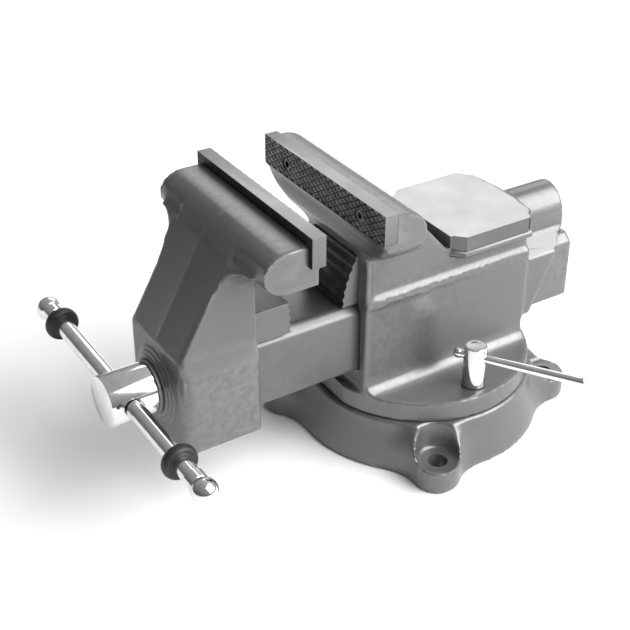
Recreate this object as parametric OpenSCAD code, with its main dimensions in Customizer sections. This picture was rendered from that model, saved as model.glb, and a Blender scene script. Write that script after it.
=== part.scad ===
// Swivel bench vise: serrated jaw plates, pipe jaws, an anvil, and a round base with four lugs.
// The origin is the swivel axis on the underside of the base. +Z is up, the handle is at -X,
// and the jaws lie across the vise, along Y.

/* [Jaws] */
// Length of a jaw plate, across the vise
jaw_length = 165; // [160:1:170]
// Height of a jaw plate
plate_height = 24; // [22:0.5:26]
// Thickness of a jaw plate
plate_thickness = 12; // [10:0.5:13]
// Height of the plates' top edge above the anvil
jaw_rise = 62.5; // [60:0.5:66]
// Opening between the plates in the rest pose
jaw_gap = 47; // [30:1:60]
// Distance from the swivel axis to the gripping face of the fixed jaw plate
jaw_reach = 98; // [97:0.5:100]
// How far a plate stands proud of the casting below it
plate_proud = 3; // [2:0.5:4]
// How far the moving jaw's plate stands above its casting
plate_step = 8; // [5:0.5:10]
// How far the fixed jaw's plate stands above its casting
rear_plate_step = 2.5; // [2:0.5:3]
// Distance from the middle of a plate to each of its screws
screw_offset = 50; // [40:1:60]
// How far the screws lie below the middle of a plate's height
screw_drop = 1.5; // [1:0.25:2]
// Radius of the head of a plate screw
screw_head_radius = 5.2; // [4.5:0.1:6]
// Thickness of the head of a plate screw
screw_head_depth = 5; // [4:0.5:6]
// Depth of the head below the face of the plate
screw_sink = 1.5; // [1:0.5:2]
// Radius of the shank of a plate screw
screw_radius = 3.5; // [3:0.1:4]
// Length of a plate screw below its head
screw_length = 18; // [16:1:20]
// Width across the flats of the key socket in a screw
socket_width = 5; // [4:0.5:6]
// Depth of the key socket in a screw
socket_depth = 3; // [2:0.5:4]

/* [Pipe jaws] */
// Half the width of the moving pipe jaw
front_pipe_half = 37; // [30:1:38]
// Height of the moving pipe jaw
front_pipe_height = 26; // [22:1:30]
// Half the width of the fixed pipe jaw
rear_pipe_half = 30; // [24:1:34]
// Height of the fixed pipe jaw
rear_pipe_height = 42; // [36:1:44]
// Number of teeth on the moving pipe jaw
front_pipe_teeth = 4; // [3:1:5]
// Number of teeth on the fixed pipe jaw
rear_pipe_teeth = 6; // [5:1:7]
// Depth of a pipe jaw tooth
tooth_depth = 1.6; // [1:0.2:2]
// Distance that a pipe jaw stays behind the gripping face of its plate
pipe_setback = 1; // [0.6:0.1:2]

/* [Slide] */
// Half the width of the slide
slide_half = 33; // [31:0.5:34]
// Height of the slide
slide_height = 59.5; // [58:0.5:61]
// Size of the bevel on the slide's top edges
slide_bevel = 6.5; // [4:0.5:8]
// Thickness of the slide's two side walls
slide_wall = 9; // [8:0.5:10]
// Thickness of the slide's top wall
slide_roof = 12; // [10:0.5:13]
// Distance from the swivel axis to the slide's rear end in the rest pose
slide_tail = 135; // [129:1:139]
// Clearance all round the slide in the body
slide_gap = 0.5; // [0.4:0.1:0.8]

/* [Moving jaw] */
// Half the length of the moving jaw's head
head_half = 78; // [76:0.5:80]
// Depth of the moving jaw's head, from the back of its plate to its front
head_depth = 36; // [34:0.5:38]
// Height of the moving jaw's head, from its underside to its top
head_height = 33; // [31:0.5:35]
// Half the width of the column between the head and the lower block
column_half = 39; // [37:0.5:41]
// Half the width of the lower block
block_half = 44.5; // [43:0.5:46]
// Distance from the gripping face back to the rear of the column
throat_depth = 32; // [30:0.5:34]
// How far the lower block reaches below the slide
block_drop = 13; // [11:0.5:15]
// How far the lower edge of the bevel round the block lies below the slide's top
band_drop = 7.5; // [6:0.5:9]
// Height of the bevel round the block, from edge to edge
band_height = 15; // [13:0.5:17]
// Depth of the block from its rear face to the crease of its front
crease_depth = 63; // [61:0.5:65]
// Height of the crease where the sloped front meets the upright front, above the slide's top
crease_rise = 4.5; // [3:0.5:6]
// Radius of the block's upright front corners
block_corner = 8; // [6:0.5:10]
// How far below the moving jaw's head the column's back begins to slope out to it
head_cove = 11; // [9:0.5:13]
// How far the column flares out on each side, into the sloping front and the head
flare_width = 30; // [24:1:34]
// Height of that flare, from its foot on the column's side
flare_height = 30; // [28:0.5:32]
// How far below the head's underside the flare begins
flare_drop = 16; // [14:0.5:18]
// Radius of the upright or sloping front corners of the column
column_corner = 9; // [7:0.5:10]

/* [Screw boss] */
// Radius of the boss round the screw
boss_radius = 30; // [28:0.5:32]
// Radial step between the rings of the boss
boss_step = 3; // [2:0.5:4]
// Number of rings on the boss
boss_rings = 3; // [2:1:3]
// How far the boss stands out from the crease of the block's front
boss_height = 4.8; // [4:0.4:6]

/* [Screw and handle] */
// Height of the screw's axis above the underside of the slide
screw_rise = 27; // [26:0.5:28]
// Radius of the screw's shaft
shaft_radius = 13; // [12:0.5:13.5]
// Radial clearance of the shaft in its bores
shaft_gap = 0.06; // [0.04:0.01:0.1]
// Radius of the hub that carries the handle
hub_radius = 19.75; // [19:0.25:20.5]
// Length of the hub
hub_length = 36.5; // [34:0.5:38]
// Thickness of the thrust washer behind the hub
thrust_thickness = 2.5; // [2:0.5:3]
// Radius of the thrust washer
thrust_radius = 21.5; // [20:0.5:22]
// Distance from the swivel axis to the screw's rear end in the rest pose
screw_tail = 103; // [97:1:109]
// Width of each ridge of the screw's thread
thread_pitch = 6.35; // [5:0.05:8]
// Depth of the screw's thread
thread_depth = 2; // [1.5:0.1:2.5]
// Length of the screw without thread, measured from the hub
plain_length = 92; // [88:1:96]
// Radius of the handle bar
bar_radius = 7; // [6.5:0.25:7.5]
// Clearance of the handle bar in the hub
bar_gap = 0.3; // [0.2:0.05:0.4]
// Length of the handle bar
bar_length = 243.5; // [243:0.5:246]
// How far the handle bar has slid through the hub, toward +Y, in the rest pose
bar_shift = 7; // [0:1:16]
// Distance from the hub's outer face to the handle bar's axis
bar_setback = 16.5; // [16:0.5:18]
// Radius of a handle end cap's neck
cap_radius = 8; // [7.75:0.25:8.5]
// Length of a handle end cap
cap_length = 26; // [25:0.5:27]
// Radius of the round end of a handle cap
cap_rim = 9.75; // [9:0.25:10]
// Depth of a handle end cap over the bar
cap_socket = 5; // [4:0.5:6]
// Radius of a rubber bumper
bumper_radius = 13.5; // [12.5:0.25:14.5]
// Thickness of a rubber bumper
bumper_width = 9; // [8:0.5:10]
// Distance from the bar's far end to the middle of the bumper there
bumper_far_inset = 15.25; // [12:0.25:20]
// Distance from the bar's near end to the middle of the bumper there
bumper_near_inset = 24.75; // [18:0.25:30]
// Radius of the retaining ring behind the moving jaw
retainer_radius = 17.5; // [16.5:0.25:18]
// Width of the retaining ring
retainer_width = 9; // [8:0.5:10]
// Radius of the pin through the retaining ring
retainer_pin_radius = 2.5; // [2:0.25:3]

/* [Body] */
// Half the width of the body's side walls
body_half = 42; // [41:0.5:43]
// Thickness of the body's floor above the flange
body_floor = 17.5; // [16:0.5:19]
// Distance from the swivel axis to the front of the body
body_front = 83; // [82:0.5:84]
// Distance from the swivel axis to the rear of the body's side panels
body_rear = 79; // [77:0.5:81]
// Radius of the cove where a side wall meets the flange
foot_cove = 12; // [10:0.5:13]
// How far the upper side wall lies inside the lower one
wall_step = 2.5; // [2:0.5:3]
// How far the lower edge of the ridge along the body's side lies below the slide's top
ridge_drop = 2.5; // [1:0.5:4]
// Height of the ridge along the body's side, from edge to edge
ridge_height = 12; // [10:0.5:13]
// How far the ridge stands out from the lower side wall
ridge_proud = 2; // [1.5:0.25:2.5]
// Depth of the fixed jaw's head behind its plate
rear_head_depth = 27.5; // [26:0.5:29]
// Height of the fixed jaw's head from its top to the foot of its end face
rear_head_end = 28; // [26:0.5:30]
// Height of the fixed jaw's head from its top to its front underside
rear_head_height = 40; // [38:0.5:42]
// How far below the fixed jaw's head its gusset meets the side wall
gusset_drop = 23.5; // [20:0.5:27]
// Radius that leads the fixed jaw's end faces into the gussets
gusset_round = 16; // [12:1:18]
// How far behind the fixed jaw's head its gusset runs out into the side wall
gusset_sweep = 22; // [18:1:25]
// Radius of the beads down the body's front corners
bead_radius = 2.5; // [2:0.25:3]
// Depth of the fixed pipe jaw's seat in the body
pipe_seat = 3; // [2:0.5:4]

/* [Anvil and tail] */
// Half the width of the anvil
anvil_half = 48; // [46:0.5:50]
// Height of the anvil's top above the slide's top
anvil_rise = 41; // [39:0.5:44]
// Thickness of the anvil plate
anvil_thickness = 12.5; // [11:0.5:14]
// Distance from the swivel axis to the anvil's front edge
anvil_front = 3; // [1:0.5:5]
// Distance from the swivel axis to the rear end of the anvil's straight sides
anvil_rear = 71; // [69:0.5:73]
// Size of the anvil's front corner bevels
anvil_bevel = 10.5; // [8:0.5:12]
// Radius of the moulding under the anvil
moulding_radius = 3.5; // [3:0.25:4]
// Depth of the hollow between the fixed jaw's head and the anvil
hollow_depth = 9.5; // [8:0.5:11]
// Distance from the swivel axis to the rear end of the round tail
tail_end = 134; // [130:1:136]
// Half the width of the round tail
tail_half = 22; // [20:0.5:24]
// Half the height of the round tail
tail_rise = 28; // [26:0.5:29]
// How far the top of the round tail lies below the anvil's top
tail_drop = 3; // [2:0.5:4]
// Half the width of the slide's cover behind the body
cover_half = 40; // [39:0.5:41]
// Length of the cover's underside behind the body
cover_length = 10; // [8:0.5:12]
// How much farther the cover reaches at the top of the slide
cover_lean = 24; // [22:0.5:26]

/* [Flange and base] */
// Radius of the body's round flange
flange_radius = 93.5; // [93:0.5:95]
// Thickness of the flange
flange_thickness = 17.2; // [16:0.2:18]
// Distance from the swivel axis to the flat at the front of the flange
flange_flat = 90.5; // [88:0.5:92.5]
// Gap between the flange and the base
swivel_gap = 0.3; // [0.3:0.1:0.5]
// Radius of the base at the bench
base_radius = 105; // [104:0.5:107]
// Radius of the base at its top
base_top_radius = 95; // [94:0.5:96]
// Height of the base
base_height = 41.5; // [40:0.5:43]
// Height of the upright rim at the foot of the base
base_rim = 5; // [4:0.5:6]
// Depth of the upright edge at the top of the base
base_edge = 8; // [6:0.5:9]
// Radius of the circle through the four bench bolt holes
lug_circle = 113; // [111:0.5:115]
// Radius of a lug
lug_radius = 18; // [17:0.5:19]
// Height of a lug's seat above the bench
lug_height = 19; // [17:0.5:21]
// Radius of a bench bolt hole
lug_hole = 8; // [7:0.25:8.5]
// Radius of the scoop at a lug's seat
scoop_radius = 16.8; // [16:0.2:17]
// Height of a lug's shoulders above the bench
lug_shoulder = 35; // [33:0.5:37]
// Turn of the base about the swivel axis in the rest pose, in degrees
lug_turn = -27; // [-30:0.5:-20]
// Radius of the circle through the two lock bolts, and of the groove below them
lock_circle = 76.5; // [76:0.5:77]
// Half the width of the groove's neck
groove_neck = 7; // [7:0.25:7.5]
// Half the width of the groove below its neck
groove_half = 12.5; // [12:0.25:13]
// Thickness of the lips over the groove
groove_lip = 8.5; // [8:0.5:9]
// Height of the groove's floor above the bench
groove_floor = 16; // [14:0.5:17]
// Outer radius of the recess under the base
recess_outer = 58; // [56:0.5:60]
// Inner radius of the recess under the base
recess_inner = 31; // [30:0.5:33]
// Height of the recess under the base
recess_height = 26; // [24:0.5:28]
// Radius of the pocket for the pivot bolt's head
pocket_radius = 24; // [22.5:0.5:25]
// Height of the pocket for the pivot bolt's head
pocket_height = 20; // [19:0.5:21]
// Radius of the pivot bolt
pivot_radius = 10; // [9:0.5:11]
// Width across the flats of the pivot bolt's head
pivot_head = 30; // [28:0.5:32]
// Thickness of the pivot bolt's head
pivot_head_height = 11; // [10:0.5:12]
// Radius of the pivot washer
pivot_washer_radius = 20; // [18:0.5:21]
// Thickness of the pivot washer
pivot_washer_height = 3; // [2.5:0.5:3.5]

/* [Lock bolts] */
// Radius of a lock bolt's head
lock_radius = 9.5; // [9:0.25:10]
// Height of a lock bolt's head
lock_height = 37; // [35:0.5:39]
// Radius of a lock bolt's shank
lock_shank = 6.4; // [6:0.1:6.6]
// Radial clearance of a lock bolt's shank
lock_gap = 0.08; // [0.04:0.01:0.1]
// Radius of the flat seat that is cut into the cove round a lock bolt
lock_seat_radius = 25; // [24:0.5:27]
// Height of a lock bar's axis above the flange
lock_bar_height = 26.3; // [25:0.1:28]
// Radius of a lock bar where it passes the bolt
lock_bar_radius = 3.5; // [3.3:0.1:3.8]
// Clearance of a lock bar in its bolt
lock_bar_gap = 0.3; // [0.2:0.05:0.4]
// Length of a lock bar from the bolt's axis to its tip
lock_bar_long = 88; // [82:1:92]
// Length of a lock bar from the bolt's axis to the middle of its stop
lock_bar_short = 14; // [13.8:0.1:14.2]
// Radius of the round stop on a lock bar
lock_stop_radius = 4.2; // [4:0.1:4.3]
// Radius of the flared tip of a lock bar
lock_tip_radius = 4; // [3.8:0.1:4.3]
// Direction of the near lock bar in the rest pose, in degrees
lock_bar_turn = -56; // [-70:1:-45]
// Half the radial width of a clamp nut
clamp_half = 10; // [9:0.25:10.5]
// Half the length of a clamp nut along the groove
clamp_length = 14; // [12:0.5:15]
// Height of a clamp nut
clamp_height = 11; // [10:0.5:12]
// Gap between a clamp nut and the lips above it in the rest pose
clamp_gap = 0.9; // [0.8:0.1:1.1]

/* [Screw nut] */
// Distance from the swivel axis to the nut's front face
nut_front = 57; // [53:1:61]
// Length of the nut along the screw
nut_length = 46; // [42:1:48]
// Half the width of the nut
nut_half = 20; // [18:0.5:21]
// Height of the nut above the body's floor
nut_height = 44; // [42:0.5:45]
// Radius of the nut's bolt
nut_bolt_radius = 5; // [4:0.5:6]
// Length of the nut's bolt inside the nut
nut_bolt_grip = 12; // [10:0.5:13]
// Radius of the head of the nut's bolt
nut_bolt_head = 9; // [8:0.5:10]
// Thickness of the head of the nut's bolt
nut_bolt_head_height = 8; // [7:0.5:9]

/* [Hidden] */

// Smoothness of round things, and of the hulled lugs
fine = 96;
round_fn = 64;
hull_fn = 32;
arc_steps = 10;
// Lugs and bench bolt holes round the base
lug_count = 4;
// Sides of a hexagon
hex_sides = 6;

// Levels from the bench up: the flange, the floor, the slide with its screw, and the anvil
flange_bottom = base_height + swivel_gap;
flange_top = flange_bottom + flange_thickness;
floor_top = flange_top + body_floor;
slide_bottom = floor_top + slide_gap;
slide_top = slide_bottom + slide_height;
screw_height = slide_bottom + screw_rise;
lock_bar_level = flange_top + lock_bar_height;
clamp_bottom = base_height - groove_lip - clamp_gap - clamp_height;
ridge_bottom = slide_top - ridge_drop;
anvil_top = slide_top + anvil_rise;
anvil_bottom = anvil_top - anvil_thickness;
tail_level = anvil_top - tail_drop - tail_rise;

// Levels of the jaws
jaw_top = anvil_top + jaw_rise;
plate_bottom = jaw_top - plate_height;
screw_level = plate_bottom + plate_height / 2 - screw_drop;
rear_head_top = jaw_top - rear_plate_step;
rear_head_bottom = rear_head_top - rear_head_height;
gusset_foot = rear_head_bottom - gusset_drop;
head_top = jaw_top - plate_step;
head_bottom = head_top - head_height;
block_bottom = slide_bottom - block_drop;
band_bottom = slide_top - band_drop;
band_top = band_bottom + band_height;
crease_height = slide_top + crease_rise;

// Gripping faces, plate backs and other planes along X
rear_face = -jaw_reach;
rear_plate_back = rear_face + plate_thickness;
front_face = rear_face - jaw_gap;
head_back = front_face - plate_thickness;
column_rear = front_face - throat_depth;
crease_x = column_rear - crease_depth;

// Planes of the boss, the washer and the hub along X
boss_face = crease_x - boss_height;
boss_ring = boss_height / boss_rings;
thrust_face = boss_face - swivel_gap - thrust_thickness;
hub_rear = thrust_face;
hub_face = hub_rear - hub_length;
bar_x = hub_face + bar_setback;

// Points on a circular arc, from one angle to another
function arc(cx, cy, r, from, to, steps = arc_steps) = oval(cx, cy, r, r, from, to, steps);

// Points on an elliptical arc, from one angle to another
function oval(cx, cy, rx, ry, from, to, steps = arc_steps) =
    [for (i = [0:steps]) let (a = from + (to - from) * i / steps) [cx + rx * cos(a), cy + ry * sin(a)]];

// Half an outline in Y and Z, joined to its mirror image on the other side of the vise
function both_sides(half) =
    concat(half, [for (i = [len(half) - 1:-1:0]) [-half[i][0], half[i][1]]]);

// Half an outline in X and Y, joined to its mirror image on the other side of the vise
function both_flanks(half) =
    concat(half, [for (i = [len(half) - 1:-1:0]) [half[i][0], -half[i][1]]]);

// An outline in X and Z, given its width along Y
module across(width) rotate([90, 0, 0]) linear_extrude(width, center = true) children();

// An outline in Y and Z, run along X from one plane to another
module along(from, to) translate([from, 0, 0]) rotate([90, 0, 90]) linear_extrude(to - from) children();

// A round bar along X, along Y or upright
module round_x(from, to, r)
    translate([from, 0, 0]) rotate([0, 90, 0]) cylinder(to - from, r = r, $fn = fine);
module round_y(from, to, r)
    translate([0, from, 0]) rotate([-90, 0, 0]) cylinder(to - from, r = r, $fn = fine);
module upright(from, to, r)
    translate([0, 0, from]) cylinder(to - from, r = r, $fn = fine);

// The two places where a jaw plate is screwed on
module at_screws() for (side = [-1, 1]) translate([0, side * screw_offset, screw_level]) children();

// The places of the near and the far lock bolt, -1 for the near side
module at_lock(side) translate([0, side * lock_circle, 0]) children();

// The place of the nut's bolt
module at_nut() translate([nut_length / 2 - nut_front, 0, 0]) children();

// A recessed screw through a plate whose gripping face looks along way: 1 for +X and -1 for -X
module plate_screw(face, way) {
    head = face - way * screw_sink;
    neck = head - way * screw_head_depth;
    tip = neck - way * screw_length;
    difference() {
        union() {
            round_x(min(head, neck), max(head, neck), screw_head_radius);
            round_x(min(neck, tip), max(neck, tip), screw_radius);
        }
        translate([head, 0, 0]) rotate([0, 90, 0])
            cylinder(2 * socket_depth, r = socket_width / sqrt(3), center = true, $fn = hex_sides);
    }
}

// The stepped hole for such a screw
module screw_hole(face, way) {
    mouth = face + way * screw_sink;
    neck = face - way * (screw_sink + screw_head_depth);
    tip = neck - way * (screw_length + screw_sink);
    round_x(min(mouth, neck), max(mouth, neck), screw_head_radius + shaft_gap);
    round_x(min(neck, tip), max(neck, tip), screw_radius + shaft_gap);
}

// A jaw plate with its two stepped screw holes
module jaw_plate(face, way) difference() {
    translate([min(face, face - way * plate_thickness), -jaw_length / 2, plate_bottom])
        cube([plate_thickness, jaw_length, plate_height]);
    at_screws() screw_hole(face, way);
}

// Outline of a pipe jaw in X and Z: a flat back, and a toothed front that falls back toward its top
function pipe_outline(back, tip, bottom, height, teeth, fall) = concat(
    [[back, bottom]],
    [for (i = [0:2 * teeth])
        let (s = i / (2 * teeth), bite = (i % 2 == 1) ? tooth_depth : 0)
        [tip - sign(tip - back) * (fall * (1 - cos(90 * s)) + bite), bottom + height * s]],
    [[back, bottom + height]]);

// Half the section of the cove at the foot of the body's walls, in Y and Z
function cove_half() = concat(
    [[body_half + foot_cove, flange_bottom]],
    arc(body_half + foot_cove, flange_top + foot_cove, foot_cove, 270, 180));

// Half the section of the body's walls in Y and Z: lower wall, ridge and upper wall
function wall_half() = concat(
    [[body_half, flange_bottom], [body_half, ridge_bottom]],
    oval(body_half - wall_step, ridge_bottom + ridge_height / 2,
        wall_step + ridge_proud, ridge_height / 2, -60, 90),
    [[body_half - wall_step, anvil_bottom]]);

// Half the section of the fixed jaw's head and of the gusset below it, in Y and Z
function gusset_half() = concat(
    [[body_half - wall_step, anvil_bottom]],
    arc(body_half - wall_step + foot_cove, gusset_foot, foot_cove, 180, 120),
    [[jaw_length / 2 - foot_cove, rear_head_bottom]],
    arc(jaw_length / 2 - gusset_round, rear_head_top - rear_head_end + gusset_round / 4,
        gusset_round, -50, 0),
    [[jaw_length / 2, rear_head_top]]);

// Side outline of the fixed jaw's head and of the slope down to the anvil, in X and Z
function rear_head_outline() =
    let (x = rear_plate_back + rear_head_depth * 0.22, rise = rear_head_height / 2)
    concat(
        [[-anvil_front, anvil_bottom], [-body_front, anvil_bottom], [-body_front, anvil_top],
         [-body_front - pipe_seat, rear_head_bottom - foot_cove],
         [rear_face + plate_proud, rear_head_bottom], [rear_face + plate_proud, plate_bottom],
         [rear_plate_back, plate_bottom], [rear_plate_back, rear_head_top]],
        oval(x, rear_head_top - rise, rear_head_depth * 0.78, rise, 90, -25),
        [[rear_plate_back + rear_head_depth * 0.9, rear_head_bottom + rise / 3],
         [-anvil_front - 2 * anvil_thickness, anvil_top + anvil_thickness + plate_proud],
         [-anvil_front - plate_proud, anvil_top - hollow_depth],
         [-anvil_front, anvil_top - hollow_depth]]);

// Half the plan of the fixed jaw's head and of the gusset that runs out behind it, in X and Y
function gusset_plan() =
    let (rear = rear_plate_back + rear_head_depth, half = body_half - wall_step)
    concat([[rear_face, 0], [rear_face, jaw_length / 2]],
        oval(rear + gusset_sweep, jaw_length / 2, gusset_sweep, jaw_length / 2 - half, 180, 270),
        [[-anvil_front, half], [-anvil_front, 0]]);

// Half the anvil's outline from above
function anvil_half_outline() =
    let (rear = anvil_rear + anvil_bevel)
    [[-anvil_front, 0], [-anvil_front, anvil_half - anvil_bevel],
     [anvil_bevel - anvil_front, anvil_half], [anvil_rear, anvil_half],
     [rear, anvil_half - anvil_bevel], [rear + anvil_bevel / 3, tail_half / 2],
     [rear + anvil_bevel / 3, 0]];

module swivel_base() color("slategray") {
    below = -base_rim;
    above = base_height + base_rim;
    difference() {
        union() {
            rotate_extrude($fn = fine) polygon([
                [0, 0], [base_radius, 0], [base_radius, base_rim],
                [base_top_radius + (base_radius - base_top_radius) / 6, base_height - base_edge],
                [base_top_radius, base_height], [0, base_height]]);
            for (i = [0:lug_count - 1]) rotate(lug_turn + i * 360 / lug_count) hull() {
                translate([lug_circle, 0, 0]) cylinder(lug_height, r = lug_radius, $fn = hull_fn);
                translate([lug_circle - 2 * lug_radius, 0, 0])
                    cylinder(lug_shoulder, r = lug_radius * 1.4, $fn = hull_fn);
            }
        }
        // Scoops over the lugs' seats, and the bolt holes
        for (i = [0:lug_count - 1]) rotate(lug_turn + i * 360 / lug_count) translate([lug_circle, 0, 0]) {
            translate([0, 0, lug_height])
                cylinder(base_height, r1 = scoop_radius, r2 = scoop_radius * 1.4, $fn = round_fn);
            upright(below, above, lug_hole);
        }
        // The round groove for the clamp nuts
        rotate_extrude($fn = fine) translate([lock_circle, 0]) polygon([
            [-groove_half, groove_floor], [groove_half, groove_floor],
            [groove_half, base_height - groove_lip], [groove_neck, base_height - groove_lip],
            [groove_neck, above], [-groove_neck, above],
            [-groove_neck, base_height - groove_lip], [-groove_half, base_height - groove_lip]]);
        // The recess under the base
        rotate_extrude($fn = fine) polygon([
            [recess_inner, below], [recess_outer, below], [recess_outer, recess_height - base_rim],
            [recess_outer - base_rim, recess_height], [recess_inner + base_rim, recess_height],
            [recess_inner, recess_height - base_rim]]);
        // The pivot bolt's pocket and bore
        upright(below, pocket_height, pocket_radius);
        upright(0, above, pivot_radius + shaft_gap);
    }
}

// The body's casting before it is bored
module body_form() {
    // The round flange with its flat front
    intersection() {
        upright(flange_bottom, flange_top, flange_radius);
        translate([-flange_flat, -flange_radius, 0])
            cube([flange_flat + flange_radius, 2 * flange_radius, jaw_top]);
    }
    // The side walls, the coves at their foot, and the beads down their front corners
    along(-body_front, body_rear) polygon(both_sides(wall_half()));
    intersection() {
        along(-body_front, body_rear) polygon(both_sides(cove_half()));
        upright(flange_bottom, anvil_bottom, flange_radius);
    }
    for (side = [-1, 1]) translate([bead_radius - body_front, side * (body_half - bead_radius / 2), 0])
        upright(flange_top, anvil_top, bead_radius);
    // The fixed jaw's head on its gussets, and the slope down to the anvil
    intersection() {
        across(jaw_length) polygon(rear_head_outline());
        along(rear_face, 0) polygon(both_sides(gusset_half()));
        linear_extrude(jaw_top) polygon(both_flanks(gusset_plan()));
    }
    // The anvil, and the round moulding under its sides and its front
    translate([0, 0, anvil_bottom]) linear_extrude(anvil_thickness)
        polygon(both_flanks(anvil_half_outline()));
    along(anvil_bevel - anvil_front, anvil_rear) polygon(both_sides(concat(
        [[0, anvil_bottom - 2 * moulding_radius]],
        arc(anvil_half - moulding_radius, anvil_bottom - moulding_radius, moulding_radius, 270, 360),
        [[anvil_half, anvil_bottom + moulding_radius]])));
    // The slide's cover behind the walls
    intersection() {
        along(body_rear - cover_length, tail_end) polygon(both_sides([
            [cover_half, floor_top], [cover_half, slide_top - slide_bevel],
            [tail_half, slide_top + slide_bevel]]));
        across(2 * cover_half) polygon([
            [body_rear - cover_length, floor_top], [body_rear + cover_length, floor_top],
            [body_rear + cover_length + cover_lean, slide_top - slide_bevel],
            [tail_end, slide_top + slide_bevel], [body_rear - cover_length, slide_top + slide_bevel]]);
    }
    // The round tail behind the anvil
    along(anvil_rear - cover_length, tail_end)
        polygon(oval(0, tail_level, tail_half, tail_rise, 0, 360 - 360 / hull_fn, hull_fn - 1));
}

module vise_body() color("darkgray") {
    far = tail_end + cover_length;
    difference() {
        body_form();
        // The slide's passage
        along(-far, far) polygon(both_sides([
            [slide_half + slide_gap, floor_top],
            [slide_half + slide_gap, slide_top - slide_bevel + slide_gap],
            [slide_half - slide_bevel + slide_gap, slide_top + slide_gap]]));
        // The seat of the pipe jaw
        along(-far, pipe_seat - body_front) polygon(both_sides([
            [rear_pipe_half + shaft_gap, slide_top],
            [rear_pipe_half + shaft_gap, slide_top + 2 * slide_gap + rear_pipe_height + shaft_gap]]));
        at_screws() screw_hole(rear_face, -1);
        // Bores for the pivot bolt, the lock bolts and the nut's bolt
        upright(0, floor_top - pipe_seat, pivot_radius + shaft_gap);
        for (side = [-1, 1]) at_lock(side) {
            upright(0, anvil_bottom, lock_shank + lock_gap);
            upright(flange_top, flange_top + foot_cove, lock_seat_radius);
        }
        at_nut() {
            upright(0, slide_top, nut_bolt_radius + shaft_gap);
            upright(0, flange_bottom + 2 * swivel_gap + nut_bolt_head_height, nut_bolt_head + shaft_gap);
        }
    }
}

module rear_jaw_plate() color("dimgray") jaw_plate(rear_face, -1);

module rear_plate_screws() color("silver") at_screws() plate_screw(rear_face, -1);

module rear_pipe_jaw() color("gray") across(2 * rear_pipe_half) polygon(pipe_outline(
    pipe_seat - body_front, rear_face + pipe_setback, slide_top + 2 * slide_gap, rear_pipe_height,
    rear_pipe_teeth,
    jaw_reach - body_front - plate_proud));

module pivot_bolt() color("silver") {
    seat = pocket_height - swivel_gap - pivot_washer_height;
    upright(seat, floor_top - 2 * pipe_seat, pivot_radius);
    translate([0, 0, seat - pivot_head_height])
        cylinder(pivot_head_height, r = pivot_head / sqrt(3), $fn = hex_sides);
}

module pivot_washer() color("silver") difference() {
    top = pocket_height - swivel_gap;
    upright(top - pivot_washer_height, top, pivot_washer_radius);
    upright(0, pocket_height, pivot_radius + shaft_gap);
}

module spindle_nut() color("peru") difference() {
    translate([-nut_front, -nut_half, floor_top]) cube([nut_length, 2 * nut_half, nut_height]);
    translate([0, 0, screw_height]) round_x(-2 * nut_front, nut_length, shaft_radius + shaft_gap);
    at_nut() upright(0, floor_top + nut_bolt_grip, nut_bolt_radius + shaft_gap);
}

module nut_bolt() color("silver") at_nut() {
    foot = flange_bottom + 2 * swivel_gap;
    upright(foot, foot + nut_bolt_head_height, nut_bolt_head);
    upright(foot, floor_top + nut_bolt_grip, nut_bolt_radius);
}

// Outline of the moving jaw's head in X and Z: the plate's rabbet, the flat top and the round front
function head_outline() =
    let (x = head_back - head_depth * 0.45, rise = head_height / 2)
    concat(
        [[front_face - plate_proud, head_bottom], [front_face - plate_proud, plate_bottom],
         [head_back, plate_bottom], [head_back, head_top]],
        oval(x, head_top - rise, head_depth * 0.55, rise, 90, 270));

// Side outline of the moving jaw's column and block, in X and Z
function column_outline() = [
    [column_rear, block_bottom], [crease_x, block_bottom], [crease_x, crease_height],
    [head_back - head_depth * 1.15, head_bottom + head_height * 0.5],
    [head_back - head_depth * 0.9, head_bottom + head_height * 0.8],
    [head_back - head_depth / 2, head_top - head_height / 8], [head_back, head_top - head_height / 8],
    [head_back, head_bottom], [column_rear, head_bottom - head_cove]];

// Half the front outline of the moving jaw's column and block, in Y and Z
function column_half_outline() =
    [[block_half, block_bottom], [block_half, band_bottom],
     [column_half, band_top], [column_half, head_top]];

// Half a plan in X and Y whose front corners are rounded: the front lies at zero
function rounded_front(half, corner) =
    concat([[0, 0]], arc(corner, half - corner, corner, 180, 90), [[crease_depth * 2, half]]);

// The moving jaw's casting before it is bored
module jaw_form() {
    slope_top = column_outline()[3];
    lean = atan2(slope_top[0] - crease_x, slope_top[1] - crease_height);
    across(2 * head_half) polygon(head_outline());
    // The flares that lead the column's sides and its sloping front into the head
    intersection() {
        across(2 * head_half) polygon(column_outline());
        along(crease_x, head_back) polygon(both_sides(oval(
            column_half + flare_width, head_bottom - flare_drop, flare_width, flare_height, 180, 90)));
    }
    // The column and the block, with rounded front corners
    intersection() {
        across(2 * head_half) polygon(column_outline());
        along(crease_x, head_back) polygon(both_sides(column_half_outline()));
        translate([crease_x, 0, 0]) linear_extrude(head_top)
            polygon(both_flanks(rounded_front(block_half, block_corner)));
        translate([crease_x, 0, crease_height]) rotate([0, lean, 0])
            linear_extrude(2 * head_top, center = true)
                polygon(both_flanks(rounded_front(block_half, column_corner)));
    }
    // The rings of the boss round the screw
    translate([0, 0, screw_height]) for (i = [0:boss_rings - 1])
        round_x(crease_x - (i + 1) * boss_ring, crease_x + boss_ring, boss_radius - i * boss_step);
    // The slide
    along(column_rear - slide_wall, slide_tail) polygon(both_sides([
        [slide_half, slide_bottom], [slide_half, slide_top - slide_bevel],
        [slide_half - slide_bevel, slide_top]]));
}

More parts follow.
